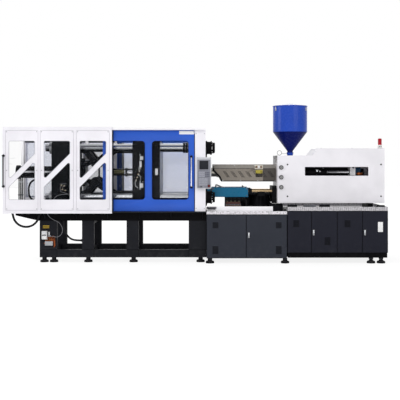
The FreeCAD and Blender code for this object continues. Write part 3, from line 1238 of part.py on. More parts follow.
def lubricator():
    """Grease unit with its divider block, and the glands of the cords and hose near it."""
    face = -BED_HALF
    x = (BED_X[0] + 59.0, BED_X[0] + 159.0)
    tank = block(x, (face - 100.0, face), (474.0, 636.0))
    cap = rod_z(26.0, (636.0, 654.0), (x[0] + x[1]) / 2, face - 50.0)
    socket = rod_x(CABLE_DIAMETER * 0.85, (x[1], CABLE_ROUTE[-1][0]), CABLE_PLANE, CABLE_ROUTE[-1][1])
    divider = block((x[0] + 51.0, x[0] + 211.0), (face - 34.0, face), (340.0, 425.0))
    outlets = [rod_z(9.0, (425.0, 452.0), x[0] + 71.0 + 40.0 * step, face - 17.0) for step in range(4)]
    ends = [under_shelf(gland(CONDUIT_ROUTE[0], CONDUIT_ROUTE[1], CORD_PLANE, CONDUIT_DIAMETER, 60.0)),
            under_shelf(gland(CONDUIT_ROUTE[-1], CONDUIT_ROUTE[-2], CORD_PLANE, CONDUIT_DIAMETER, 60.0)),
            under_shelf(gland(CABLE_ROUTE[0], CABLE_ROUTE[1], CABLE_PLANE, CABLE_DIAMETER, 40.0)),
            rod_z(BAY_HOSE_DIAMETER * 0.7, (BAY_ROUTE[0][1], BEAM_BOTTOM), BAY_ROUTE[0][0], BAY_PLANE),
            rod_x(BAY_HOSE_DIAMETER * 0.7, (BAY_ROUTE[-1][0], pillar_spans()[1][0]), BAY_PLANE,
                  BAY_ROUTE[-1][1])]
    return [joined([tank, cap, socket]), joined([divider] + outlets)] + ends


# ---------------------------------------------------------------- write every node
def main():
    nodes = {
        "bed_frame": bed_frame(),
        "top_beams": top_beams(),
        "levelling_feet": levelling_feet(),
        "fixed_platen": fixed_platen(),
        "tie_bars": tie_bars(),
        "tie_bar_nuts": tie_bar_nuts(),
        "guard_rails": guard_rails(),
        "column_covers": column_covers(),
        "rear_guard": rear_guard(),
        "control_box": control_box(),
        "stop_button": stop_button(),
        "tail_platen": tail_platen(),
        "clamp_cylinder": clamp_cylinder(),
        "crosshead": crosshead(),
        "moving_platen": moving_platen(),
        "ejector_unit": ejector_unit(),
        "ejector_plate": ejector_plate(),
        "toggle_guard": toggle_guard(),
        "front_door": front_door(),
        "front_door_panes": front_door_panes(),
        "rear_door": rear_door(),
        "drive_cabinet": drive_cabinet(),
        "power_cabinet": power_cabinet(),
        "drip_trays": drip_trays(),
        "pump_set": pump_set(),
        "electric_panel": electric_panel(),
        "carriage_rods": carriage_rods(),
        "valve_block": valve_block(),
        "seat_cylinders": seat_cylinders(),
        "carriage_base": carriage_base(),
        "barrel": barrel(),
        "barrel_cover": barrel_cover(),
        "injection_housing": injection_housing(),
        "hopper": hopper(),
        "hopper_lid": hopper_lid(),
        "feed_gate": feed_gate(),
        "warning_lamp": warning_lamp(),
        "injection_cylinders": injection_cylinders(),
        "drive_beam": drive_beam(),
        "screw": screw(),
        "lubricator": lubricator(),
        "conduit_hose": cord_tube("conduit", CONDUIT_ROUTE, CORD_PLANE, CONDUIT_DIAMETER),
        "lubricator_cable": cord_tube("cable", CABLE_ROUTE, CABLE_PLANE, CABLE_DIAMETER),
        "bay_hose": cord_tube("bay hose", BAY_ROUTE, BAY_PLANE, BAY_HOSE_DIAMETER),
        "clamp_hose": cord_tube("clamp hose", CLAMP_HOSE_ROUTE, CLAMP_HOSE_PLANE, CLAMP_HOSE_DIAMETER),
    }
    nodes.update(cabinet_doors())
    nodes.update(latches())
    for name, make in (("rear_link", rear_link), ("front_link", front_link), ("cross_link", cross_link)):
        upper = make()
        nodes[name + "_upper"] = upper
        nodes[name + "_lower"] = lower(upper)
    for node, shapes in nodes.items():
        save(node, shapes)


os.makedirs("parts", exist_ok=True)
main()
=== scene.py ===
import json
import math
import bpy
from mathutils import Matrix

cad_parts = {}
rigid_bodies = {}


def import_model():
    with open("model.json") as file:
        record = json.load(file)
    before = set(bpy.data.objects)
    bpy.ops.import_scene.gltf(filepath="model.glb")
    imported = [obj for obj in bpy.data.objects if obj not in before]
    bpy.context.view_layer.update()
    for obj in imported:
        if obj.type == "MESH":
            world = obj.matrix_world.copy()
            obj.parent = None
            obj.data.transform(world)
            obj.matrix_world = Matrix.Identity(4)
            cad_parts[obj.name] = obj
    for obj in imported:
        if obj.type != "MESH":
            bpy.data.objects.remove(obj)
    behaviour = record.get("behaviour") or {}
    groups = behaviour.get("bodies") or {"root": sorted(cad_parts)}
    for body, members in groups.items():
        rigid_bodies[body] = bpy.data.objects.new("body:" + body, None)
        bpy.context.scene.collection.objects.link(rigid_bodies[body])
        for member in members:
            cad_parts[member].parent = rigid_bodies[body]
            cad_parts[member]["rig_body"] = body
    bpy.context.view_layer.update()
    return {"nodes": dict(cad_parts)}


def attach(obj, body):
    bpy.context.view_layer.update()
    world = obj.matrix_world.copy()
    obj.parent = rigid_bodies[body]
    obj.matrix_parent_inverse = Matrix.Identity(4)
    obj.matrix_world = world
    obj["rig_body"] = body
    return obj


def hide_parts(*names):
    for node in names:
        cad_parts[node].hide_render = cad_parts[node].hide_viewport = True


bl_info = {
    "name": "Injection moulding machine",
    "version": (1, 0, 0),
    "blender": (4, 5, 0),
    "location": "View3D > Sidebar > Moulding machine",
    "description": "Finishes and small pieces for a double-toggle injection moulding machine",
    "category": "Object",
}

from functools import cache

import bmesh
import bpy
from bpy.props import FloatProperty, FloatVectorProperty, PointerProperty
from mathutils import Matrix, Vector

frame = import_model()
NODES = frame["nodes"]
FINISH = {}


# Ways that heads and turned pieces face, and the two long sides of the machine.
FRONT, REAR, UP, LEFT, RIGHT = (0, -1, 0), (0, 1, 0), (0, 0, 1), (-1, 0, 0), (1, 0, 0)
SIDES = (("front", -1), ("rear", 1))

# Places that several pieces share, in metres.
AXIS = 1.815
TIE_OFFSET = 0.505
TOGGLE_OFFSET = 0.480
SEAT_AXIS = (0.280, 1.427)
FRONT_PLANE = -0.900
DOOR_PLANE = -0.795
CABINET_PLANE = -0.860
HOUSING_PLANE = -0.560
PLATEN_FACE = -0.640
WINDOW_Z = (1.278, 2.450)
GUARD_WINDOWS = [(-3.728, 0.516), (-3.028, 0.518), (-2.312, 0.524)]
DOOR_WINDOWS = [(-1.739, 0.717), (-0.873, 0.729)]
GUARD_BAR_X, DOOR_BAR_X = -3.836, -0.085
GUARD_POSTS, DOOR_POSTS = (1.544, 2.155), (1.525, 2.136)
BEAM_TOP = 1.0375
HOPPER_X = 1.978
LAMP_PLACE = (3.805, -0.300)
SILL_TOP = 0.253
BED_PILLARS = [(-3.159, -2.808), (-2.302, -2.059), (-1.400, -1.157), (-0.140, 0.211)]
FEET = ([(x, 0.600, 0.098) for x in (-3.072, -2.877, -2.1805, -1.2604, 0.101)]
        + [(x, 0.800, 0.098) for x in (0.290, 1.798)] + [(x, 0.800, 0.112) for x in (3.525, 3.726)])


# ------------------------------------------------------------------ colours and sizes
def hue(code):
    """A web colour as linear red, green and blue."""
    channels = [int(code[i:i + 2], 16) / 255 for i in (0, 2, 4)]
    return tuple(c / 12.92 if c <= 0.04045 else ((c + 0.055) / 1.055) ** 2.4 for c in channels)


def tint(code, name, description):
    """Colour property with a web colour as its default."""
    return FloatVectorProperty(name=name, description=description, subtype="COLOR", size=3,
                               min=0.0, max=1.0, default=hue(code))


def length(default, name, description, low=0.0005, high=1.0):
    """Length property in metres."""
    return FloatProperty(name=name, description=description, default=default, min=low, max=high,
                         unit="LENGTH", precision=4)


class MachineColours(bpy.types.PropertyGroup):
    """Colours of the machine's finishes."""

    door: tint("2f5cc4", "Door blue", "Powder coat of the sliding doors of the mould space")
    hopper: tint("2449b2", "Hopper blue", "Enamel of the hopper's cylinder, neck and lid")
    # The cone's navy is partly its own darker enamel and partly painted shade on its downward-facing
    # side.
    cone: tint("04135c", "Hopper navy", "Enamel of the hopper's cone")
    guard: tint("eeecf2", "Guard white", "Powder coat of the clamp guards")
    housing: tint("e9e7ec", "Housing white", "Powder coat of the injection housing")
    drive: tint("2c2f38", "Drive cabinet grey", "Powder coat of the drive cabinet")
    power: tint("1f202a", "Power cabinet grey", "Powder coat of the power cabinet")
    frame: tint("1d1e23", "Frame black", "Paint of the welded bed")
    beam: tint("0a090c", "Beam black", "Paint of the top beams and the platens")
    teal: tint("0f688e", "Cylinder teal", "Enamel of the seat cylinders")
    cover: tint("888076", "Cover beige", "Powder coat of the barrel cover")
    panel: tint("82838d", "Panel grey", "Key field of the control panel")
    lamp: tint("c0142a", "Lamp red", "Lens of the warning lamp")


class MachineSizes(bpy.types.PropertyGroup):
    """Sizes of the small pieces."""

    gasket: length(0.0045, "Gasket radius", "Rubber profile round each window")
    seam: length(0.0040, "Seam radius", "Folded seam round each guard panel")
    screw: length(0.0065, "Screw radius", "Button-head screws of the guards and housing")
    peel: length(0.00012, "Orange peel", "Height of the powder coat's texture", 0.0, 0.01)
    tread: length(0.042, "Tread pitch", "Spacing of the lugs of the tread plate")
    key: length(0.0215, "Key width", "Keys of the control panel")
    lens: FloatProperty(name="Camera lens", description="Focal length of the front view",
                        default=76.5, min=20.0, max=200.0, unit="CAMERA")


# ------------------------------------------------------------------ shader and geometry graphs
class Value:
    """A socket of a graph, with arithmetic that adds Math nodes."""

    def __init__(self, graph, socket):
        self.graph = graph
        self.socket = socket

    def maths(self, operation, first, second=0.0):
        return self.graph.node("ShaderNodeMath", {"operation": operation}, {0: first, 1: second})


for method, operation in {"__add__": "ADD", "__sub__": "SUBTRACT", "__mul__": "MULTIPLY",
                          "__rmul__": "MULTIPLY", "__truediv__": "DIVIDE",
                          "__gt__": "GREATER_THAN", "__mod__": "FLOORED_MODULO"}.items():
    setattr(Value, method,
            lambda self, other, operation=operation: self.maths(operation, self, other))


class Graph:
    """Node tree that is written with one method."""

    def __init__(self, tree):
        self.tree = tree

    def link(self, value, socket):
        self.tree.links.new(value.socket, socket)

    def node(self, kind, settings=None, inputs=None, output=0):
        """Add a node: its settings first, then the values or links of its sockets."""
        made = self.tree.nodes.new(kind)
        for name, value in (settings or {}).items():
            setattr(made, name, value)
        for name, value in (inputs or {}).items():
            if isinstance(value, Value):
                self.link(value, made.inputs[name])
            else:
                made.inputs[name].default_value = value
        return Value(self, made.outputs[output])


class Recipe(Graph):
    """Material with one Principled shader, in Object coordinates."""

    def __init__(self, name, **constants):
        self.material = bpy.data.materials.new(name)
        self.material.use_nodes = True
        super().__init__(self.material.node_tree)
        self.shader = self.tree.nodes["Principled BSDF"]
        self.place = self.node("ShaderNodeTexCoord", output="Object")
        self.feed(**constants)
        FINISH[name] = self.material

    def along(self, axis):
        """One coordinate of the object's own space."""
        return self.node("ShaderNodeSeparateXYZ", inputs={0: self.place}, output=axis)

    def stretched(self, scale, turn=(0.0, 0.0, 0.0)):
        """Object coordinates with a scale and a turn."""
        return self.node("ShaderNodeMapping",
                         inputs={"Vector": self.place, "Scale": scale, "Rotation": turn})

    def noise(self, scale, detail=3.0, vector=None):
        return self.node("ShaderNodeTexNoise",
                         inputs={"Vector": vector or self.place, "Scale": scale, "Detail": detail})

    def spread(self, value, low, high, to_low=0.0, to_high=1.0):
        """The value mapped from one range to another, with soft ends."""
        return self.node("ShaderNodeMapRange", {"interpolation_type": "SMOOTHSTEP"},
                         {"Value": value, "From Min": low, "From Max": high,
                          "To Min": to_low, "To Max": to_high})

    def around(self, value, low, high, middle, less, more):
        """Roughness that the value moves a little below and above a middle."""
        return self.spread(value, low, high, middle - less, middle + more)

    def mix(self, factor, first, second):
        """Colour between two colours."""
        colours = [c if isinstance(c, Value) else (*c[:3], 1.0) for c in (first, second)]
        return self.node("ShaderNodeMix", {"data_type": "RGBA", "blend_type": "MIX"},
                         {0: factor, 6: colours[0], 7: colours[1]}, 2)

    def mottled(self, factor, colour, part):
        """Colour that the factor moves between a darker and a lighter shade."""
        return self.mix(factor, shade(colour, 1.0 - part), shade(colour, 1.0 + part))

    def feed(self, **sockets):
        """Link or set sockets of the shader."""
        for label, value in sockets.items():
            socket = self.shader.inputs[label.replace("_", " ")]
            if isinstance(value, Value):
                self.link(value, socket)
            else:
                socket.default_value = value

    def relief(self, height, depth):
        """Bump of a real depth in metres."""
        self.feed(Normal=self.node("ShaderNodeBump", inputs={
            "Strength": 1.0, "Distance": depth, "Height": height}))


def shade(colour, factor):
    """Lighter or darker version of a colour."""
    return tuple(min(1.0, channel * factor) for channel in colour[:3])


# ------------------------------------------------------------------ finishes
DUST, SAND_DUST = hue("6e6d6c"), hue("4c4c50")
TOOL_MARKS = (900.0, 7.0, 7.0)
SEAM_OF_TRAYS = 1.838
DIAGONAL = 0.7071


def powder_coat(name, colour, roughness=0.34, gloss=0.28, peel=1.0, mottle=0.05, dust=0.0):
    """Baked powder coat: orange peel, faint mottling, and dust that gathers low down."""
    recipe = Recipe(name, Specular_IOR_Level=gloss)
    base = recipe.mottled(recipe.spread(recipe.noise(1.7, 4.0), 0.3, 0.7), colour, mottle)
    if dust:
        low = recipe.spread(recipe.along("Z"), 0.0, 0.55, 1.0, 0.0)
        spots = recipe.spread(recipe.noise(11.0, 6.0), 0.42, 0.75)
        base = recipe.mix(low * spots * dust, base, DUST)
    rub = recipe.around(recipe.noise(24.0, 5.0), 0.3, 0.75, roughness, 0.05, 0.09)
    recipe.feed(Base_Color=base, Roughness=rub)
    height = recipe.noise(380.0, 2.0) + 0.6 * recipe.noise(90.0, 2.0)
    recipe.relief(height, bpy.context.scene.machine_sizes.peel * peel)


def casting(name, colour, roughness=0.5):
    """Painted iron casting: sand texture under paint, with rubbed high spots."""
    recipe = Recipe(name, Specular_IOR_Level=0.06)
    sand = recipe.noise(130.0, 5.0)
    swell = recipe.noise(9.0, 3.0)
    base = recipe.mix(recipe.spread(swell, 0.35, 0.7), shade(colour, 0.8), shade(colour, 1.35))
    base = recipe.mix(recipe.spread(sand, 0.62, 0.78) * 0.14, base, SAND_DUST)
    recipe.feed(Base_Color=base, Roughness=recipe.around(sand, 0.3, 0.7, roughness, 0.08, 0.1))
    recipe.relief(sand + 1.5 * swell, 0.0006)


def machined(name, colour, roughness=0.24, scale=TOOL_MARKS, depth=0.00004):
    """Machined metal: tool marks across the piece, and patches of oil film."""
    recipe = Recipe(name, Metallic=1.0)
    marks = recipe.noise(1.0, 4.0, recipe.stretched(scale))
    film = recipe.spread(recipe.noise(6.0, 4.0), 0.4, 0.7)
    recipe.feed(Base_Color=recipe.mix(film * 0.5, colour, shade(colour, 0.72)),
                Roughness=recipe.around(marks, 0.3, 0.7, roughness, 0.07, 0.1))
    recipe.relief(marks, depth)


def bars_with_painted_shade(name, colour, dark):
    """Ground bars of the clamp, with painted shade darkening their undersides."""
    recipe = Recipe(name, Metallic=1.0)
    marks = recipe.noise(1.0, 4.0, recipe.stretched(TOOL_MARKS))
    height = (recipe.along("Z") - (AXIS - TIE_OFFSET) + TIE_OFFSET) % (2 * TIE_OFFSET) - TIE_OFFSET
    # Painted shade: the lower side of each bar turns towards the dark colour.
    under = recipe.spread(height + 0.01 * recipe.noise(5.0, 3.0), -0.055, 0.012, 1.0, 0.0)
    recipe.feed(Base_Color=recipe.mix(under, colour, dark),
                Roughness=recipe.spread(marks, 0.3, 0.7, 0.13, 0.3))
    recipe.relief(marks, 0.00004)


def plastic(name, colour, roughness=0.4, gloss=0.3, grain=0.00008, coat=0.0):
    """Moulded plastic or rubber with a fine grain."""
    recipe = Recipe(name, Specular_IOR_Level=gloss, Coat_Weight=coat, Coat_Roughness=0.12)
    grainy = recipe.noise(700.0, 2.0)
    tone = recipe.spread(recipe.noise(30.0, 3.0), 0.3, 0.7)
    recipe.feed(Base_Color=recipe.mottled(tone, colour, 0.07),
                Roughness=recipe.around(grainy, 0.2, 0.8, roughness, 0.05, 0.06))
    recipe.relief(grainy, grain)


def clear_sheet(name, colour, alpha):
    """Clear safety sheet with faint wiping marks."""
    recipe = Recipe(name, IOR=1.49)
    marks = recipe.noise(1.0, 5.0, recipe.stretched((3.0, 3.0, 22.0), (0.0, 0.5, 0.0)))
    wipe = recipe.spread(marks, 0.55, 0.8)
    recipe.feed(Base_Color=recipe.mix(wipe, colour, shade(colour, 1.3)),
                Roughness=recipe.spread(wipe, 0.0, 1.0, 0.05, 0.13),
                Alpha=recipe.spread(wipe, 0.0, 1.0, alpha, alpha + 0.05))


def tread_plate(name, colour, pitch):
    """Tread plate: raised lugs that turn by a right angle from cell to cell."""
    recipe = Recipe(name, Metallic=0.3)
    across, along = recipe.along("X") / pitch, recipe.along("Y") / pitch
    cells = across.maths("FLOOR", across) + along.maths("FLOOR", along)
    parity = (cells % 2.0) * 2.0 - 1.0
    u, v = across % 1.0 - 0.5, (along % 1.0 - 0.5) * parity
    lengthwise, crosswise = (u + v) * DIAGONAL, (u - v) * DIAGONAL
    reach = lengthwise * lengthwise / 0.15 + crosswise * crosswise / 0.011
    lug = recipe.spread(reach, 1.0, 0.45)
    worn = recipe.noise(38.0, 5.0)
    base = recipe.mix(recipe.spread(worn, 0.36, 0.58), shade(colour, 0.5), colour)
    base = recipe.mix(recipe.along("X") > SEAM_OF_TRAYS, base,
                      recipe.mix(0.42, base, (0.05, 0.05, 0.055)))
    recipe.feed(Base_Color=recipe.mix(lug * 0.5, base, shade(colour, 1.1)),
                Roughness=recipe.spread(worn, 0.3, 0.7, 0.32, 0.5))
    recipe.relief(lug + 0.03 * recipe.noise(300.0, 3.0), 0.0017)


def by_height(name, levels, roughness=0.26, coat=0.0):
    """Enamel whose colour changes at heights: (top of the band, colour) from the floor up."""
    recipe = Recipe(name, Specular_IOR_Level=0.12, Coat_Weight=coat, Coat_Roughness=0.1)
    height = recipe.along("Z")
    broad = recipe.spread(recipe.noise(2.3, 4.0), 0.3, 0.7)
    base = recipe.mottled(broad, levels[0][1], 0.05)
    for (top, _), (_, colour) in zip(levels, levels[1:]):
        base = recipe.mix(height > top, base, recipe.mottled(broad, colour, 0.05))
    rub = recipe.around(recipe.noise(26.0, 4.0), 0.3, 0.75, roughness, 0.05, 0.08)
    recipe.feed(Base_Color=base, Roughness=rub)
    recipe.relief(recipe.noise(380.0, 2.0), bpy.context.scene.machine_sizes.peel)


def by_reach(name, inner, outer, limit):
    """Metal inside a distance from the machine's axis, and a duller band outside it."""
    recipe = Recipe(name)
    y, z = recipe.along("Y"), recipe.along("Z") - AXIS
    far = (y * y + z * z) > limit * limit
    marks = recipe.noise(1.0, 4.0, recipe.stretched((500.0, 9.0, 9.0)))
    recipe.feed(Base_Color=recipe.mix(far, inner, outer), Metallic=far * -0.6 + 1.0,
                Roughness=recipe.spread(marks, 0.3, 0.7, 0.24, 0.42))
    recipe.relief(marks, 0.00005)


def mix_finishes():
    """Every finish of the machine, under a plain name."""
    colours = bpy.context.scene.machine_colours

    def mixed(kind, *rows):
        for name, colour, *numbers in rows:
            kind(name, hue(colour) if isinstance(colour, str) else colour, *numbers)

    coarse, rough = (60.0, 60.0, 60.0), (70.0, 70.0, 70.0)
    # Name, colour, roughness, gloss, orange peel, mottling and dust.
    mixed(powder_coat,
          ("guard white", colours.guard, 0.36),
          ("housing white", colours.housing, 0.38),
          ("header grey", "c9cad0", 0.4),
          ("door blue", colours.door, 0.33, 0.14),
          # A darker copy of the door blue, for the grab-bar posts and as painted shade on the rear
          # door's inner stile.
          ("door blue dark", shade(colours.door, 0.3), 0.33, 0.14),
          ("drive grey", colours.drive, 0.4, 0.12, 1.6, 0.05, 0.08),
          ("power grey", colours.power, 0.4, 0.08, 1.6, 0.05, 0.06),
          ("vent black", "101116", 0.5, 0.05),
          ("plinth black", "09090c", 0.5, 0.04, 1.0, 0.05, 0.03),
          ("cover beige", colours.cover, 0.42),
          ("cover light", "8b867f", 0.38),
          ("cover dark", "4f4a45", 0.5),
          ("rail white", "f6f5f8", 0.36),
          ("motor blue", "35597a", 0.35),
          ("catch cream", "d8d3c4", 0.4),
          ("panel frame", "d3d4d9", 0.36),
          ("panel field", colours.panel, 0.45),
          ("frame black", colours.frame, 0.45, 0.08, 2.0, 0.12, 0.1),
          ("beam black", colours.beam, 0.4, 0.04, 2.0, 0.12),
          ("teal", colours.teal, 0.3, 0.1, 1.2, 0.1),
          ("bare plate", "e9e9ea", 0.3, 0.28, 0.4),
          ("yellow plate", "c8a52a", 0.4, 0.28, 0.5))
    mixed(casting, ("platen black", colours.beam), ("link black", "121114", 0.42),
          ("carriage black", "0f0f12"))
    # The second colour is painted shade on the undersides of the tie bars.
    bars_with_painted_shade("tie bar", hue("a4a6aa"), hue("1a1b1e"))
    # Name, colour, roughness, scale of the marks and their depth.
    mixed(machined,
          ("ground bar", "8e9095", 0.2),
          ("chrome", "c4c5c9", 0.12, TOOL_MARKS, 0.00001),
          ("steel", "8f9094", 0.33, coarse, 0.00008),
          ("dark steel", "4a4b50", 0.36, coarse, 0.00008),
          ("zinc", "a9abae", 0.38, (25.0, 25.0, 25.0), 0.00006),
          ("brass", "b89a5a", 0.3, rough, 0.00006),
          ("brass rod", "b39b78", 0.28),
          ("bronze", "6f6b4c", 0.35),
          ("copper", "b4653a", 0.3, rough, 0.00006))
    # Name, colour, roughness, gloss, grain and clear coat.
    mixed(plastic,
          ("rubber", "121214", 0.62, 0.12),
          ("hose black", "141417", 0.5, 0.16, 0.0002),
          ("cable grey", "77777b", 0.5),
          ("stop red", "640c14", 0.4, 0.3, 0.00008, 0.1),
          ("knob brown", "7a6050", 0.45),
          ("pipe brown", "5c352e", 0.5),
          ("plate olive", "b0a23c", 0.45),
          ("plate brown", "2b2620", 0.45),
          ("white plastic", "e2e3e4", 0.38),
          ("black plastic", "1b1c20", 0.45, 0.14),
          ("key grey", "b6b8c3", 0.5),
          ("key dark", "5a5d6c", 0.5),
          ("screen", "1a1c24", 0.3, 0.12, 0.00001),
          ("dial face", "9b9b9b", 0.4, 0.3, 0.00002, 0.1),
          ("motor grey", "6c6f76", 0.45),
          ("seal grey", "a4a5aa", 0.55),
          # Seam grey is partly painted shade: it darkens the seams of the guard's panels.
          ("seam grey", "bcb8c0", 0.5))
    # Name, colour and cover.
    mixed(clear_sheet, ("clear pane", "59626c", 0.02), ("rear pane", "bcc2dc", 0.34),
          ("door pane", "599cff", 0.33))
    tread_plate("tread plate", hue("d8d5da"), bpy.context.scene.machine_sizes.tread)
    by_height("levelling foot",
              [(0.022, hue("0f0f11")), (0.066, hue("18181b")), (2.0, hue("222327"))], 0.5)
    # The navy band of the cone, between 2.225 and 2.659 m, is partly painted shade on its
    # downward-facing side.
    by_height("hopper enamel",
              [(2.225, colours.hopper), (2.659, colours.cone), (9.0, colours.hopper)], coat=0.08)
    by_height("lamp", [(2.382, hue("e6e6e4")), (9.0, colours.lamp)], coat=0.06)
    by_reach("barrel", hue("a9a69d"), hue("bdb9b0"), 0.101)


KEPT_NODES = {
    "frame black": "bed_frame",
    "levelling foot": "levelling_feet",
    "platen black": "fixed_platen tie_bar_nuts",
    "tie bar": "tie_bars",
    "link black": "rear_link_upper rear_link_lower front_link_upper front_link_lower "
                  "cross_link_upper cross_link_lower",
    "steel": "screw drive_latch power_latch_left power_latch_right",
    "black plastic": "feed_gate",
    "guard white": "column_covers",
    "drive grey": "drive_cabinet drive_door_left drive_door_right",
    "power grey": "power_door_1 power_door_2 power_door_3 power_door_4",
    "tread plate": "drip_trays",
    "motor grey": "pump_set",
    "zinc": "electric_panel",
    "teal": "seat_cylinders",
    "carriage black": "carriage_base injection_cylinders",
    "barrel": "barrel",
    "hopper enamel": "hopper hopper_lid",
    "lamp": "warning_lamp",
    "stop red": "stop_button",
    "clear pane": "front_door_panes",
}


class MACHINE_OT_finishes(bpy.types.Operator):
    """Mix the finishes and put them on the CAD nodes that stay as they are"""

    bl_idname = "machine.finishes"
    bl_label = "Finishes"

    def execute(self, context):
        mix_finishes()
        for finish, nodes in KEPT_NODES.items():
            for node in nodes.split():
                NODES[node].material_slots[0].material = FINISH[finish]
        return {"FINISHED"}


# ------------------------------------------------------------------ making pieces
def placed(name, mesh, body, slot, *nodes):
    """Object of a mesh that rides on a body and may stand for CAD nodes; its slot argument is not
    used.
    """
    piece = bpy.data.objects.new(name, mesh)
    bpy.context.scene.collection.objects.link(piece)
    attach(piece, body)
    if nodes:
        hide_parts(*nodes)
    return piece


def softened(mesh, sharp=38.0):
    """Smooth shading, with sharp edges past an angle if there is one."""
    mesh.polygons.foreach_set("use_smooth", [True] * len(mesh.polygons))
    if sharp:
        mesh.set_sharp_from_angle(angle=math.radians(sharp))


class Stock:
    """Slabs, bars and turned shapes gathered into one piece, each with its own finish."""

    def __init__(self):
        self.shape = bmesh.new()
        self.finishes = []

    def finish(self, faces, name):
        if name not in self.finishes:
            self.finishes.append(name)
        for face in faces:
            face.material_index = self.finishes.index(name)

    def face(self, *verts):
        return self.shape.faces.new(verts)

    def slab(self, low, high, finish, round_by=0.0, turn=None):
        """Box between two corners, with rounded edges, and a turn about its middle."""
        made = bmesh.ops.create_cube(self.shape, size=1.0)["verts"]
        bmesh.ops.scale(self.shape, vec=[high[i] - low[i] for i in range(3)], verts=made)
        if turn is not None:
            bmesh.ops.rotate(self.shape, matrix=turn, verts=made)
        middle = Vector([(high[i] + low[i]) / 2 for i in range(3)])
        bmesh.ops.translate(self.shape, vec=middle, verts=made)
        if round_by:
            edges = {edge for vert in made for edge in vert.link_edges}
            made = bmesh.ops.bevel(self.shape, geom=list(edges), offset=round_by, segments=2,
                                   profile=0.5, affect="EDGES")["verts"]
        self.finish({face for vert in made for face in vert.link_faces}, finish)

    def slabs(self, finish, round_by, *boxes):
        """Boxes of one finish, each from its spans along X, Y and Z."""
        for spans in boxes:
            self.slab(*zip(*spans), finish, round_by)

    def bar(self, start, end, radius, finish, sides=20, far_radius=None):
        """Round bar or cone between two points."""
        start, end = Vector(start), Vector(end)
        line = end - start
        turn = line.to_track_quat("Z", "Y").to_matrix().to_4x4()
        made = bmesh.ops.create_cone(
            self.shape, cap_ends=True, segments=sides, radius1=radius,
            radius2=radius if far_radius is None else far_radius, depth=line.length,
            matrix=Matrix.Translation((start + end) / 2) @ turn)["verts"]
        self.finish({face for vert in made for face in vert.link_faces}, finish)

    def stub(self, start, way, reach, radius, finish, sides=12):
        """Round bar from a point along a way."""
        self.bar(start, Vector(start) + Vector(way) * reach, radius, finish, sides)

    def turned(self, start, axis, profile, finish, sides=28):
        """Solid of revolution from (distance along the axis, radius) points."""
        turn = Vector(axis).to_track_quat("Z", "Y").to_matrix().to_4x4()
        place = Matrix.Translation(Vector(start)) @ turn
        rings = []
        for along, radius in profile:
            angles = [2 * math.pi * step / sides for step in range(sides if radius else 1)]
            rings.append([self.shape.verts.new(
                place @ Vector((radius * math.cos(a), radius * math.sin(a), along)))
                for a in angles])
        faces = []
        for low, high in zip(rings, rings[1:]):
            for step in range(sides):
                after = (step + 1) % sides
                if len(low) == 1:
                    faces.append(self.face(low[0], high[after], high[step]))
                elif len(high) == 1:
                    faces.append(self.face(low[step], low[after], high[0]))
                else:
                    faces.append(self.face(low[step], low[after], high[after], high[step]))
        for ring in (rings[0][::-1], rings[-1]):
            if len(ring) > 1:
                faces.append(self.face(*ring))
        self.finish(faces, finish)

    def prism(self, outline, along, finish):
        """Closed outline of 3-D points pushed along a vector."""
        near = [self.shape.verts.new(point) for point in outline]
        far = [self.shape.verts.new(Vector(point) + Vector(along)) for point in outline]
        faces = [self.face(*near), self.face(*far[::-1])]
        for step in range(len(near)):
            after = (step + 1) % len(near)
            faces.append(self.face(near[after], near[step], far[step], far[after]))
        bmesh.ops.recalc_face_normals(self.shape, faces=faces)
        self.finish(faces, finish)

    def mesh(self, name, sharp=38.0):
        mesh = bpy.data.meshes.new(name)
        self.shape.to_mesh(mesh)
        self.shape.free()
        for finish in self.finishes:
            mesh.materials.append(FINISH[finish])
        softened(mesh, sharp)
        return mesh

    def piece(self, name, body, slot):
        placed(name, self.mesh(name), body, slot)


def loose_parts(shape):
    """Lowest and highest corner of the loose part that each vertex is in."""
    corners = {}
    for start in shape.verts:
        if start in corners:
            continue
        corners[start] = None
        group = [start]
        for vert in group:
            for edge in vert.link_edges:
                other = edge.other_vert(vert)
                if other not in corners:
                    corners[other] = None
                    group.append(other)
        low, high = (Vector([pick(vert.co[i] for vert in group) for i in range(3)])
                     for pick in (min, max))
        for vert in group:
            corners[vert] = (low, high)
    return corners


def is_sheet(part, thickness=0.006):
    """Whether a loose part is a thin upright pane."""
    return part[1].y - part[0].y < thickness


def dressed(name, node, choose, slot, round_by=0.0):
    """Merged copy of a CAD node that stands for it, with a finish chosen for each face."""
    stock = Stock()
    shape = stock.shape
    shape.from_mesh(NODES[node].data)
    bmesh.ops.remove_doubles(shape, verts=shape.verts, dist=2e-5)
    parts = loose_parts(shape)
    for face in shape.faces:
        chosen = choose(face.calc_center_median(), face.normal, parts[face.verts[0]])
        stock.finish([face], chosen)
    bmesh.ops.dissolve_limit(shape, angle_limit=math.radians(0.4), verts=shape.verts,
                             edges=shape.edges, delimit={"MATERIAL", "NORMAL"})
    mesh = stock.mesh(name, None if round_by else 38.0)
    piece = placed(name, mesh, NODES[node]["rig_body"], slot, node)
    if round_by:
        bevel = piece.modifiers.new("rounded edges", "BEVEL")
        bevel.width = round_by
        bevel.segments = 2
        bevel.limit_method = "ANGLE"
        bevel.angle_limit = math.radians(40.0)
        bevel.harden_normals = True


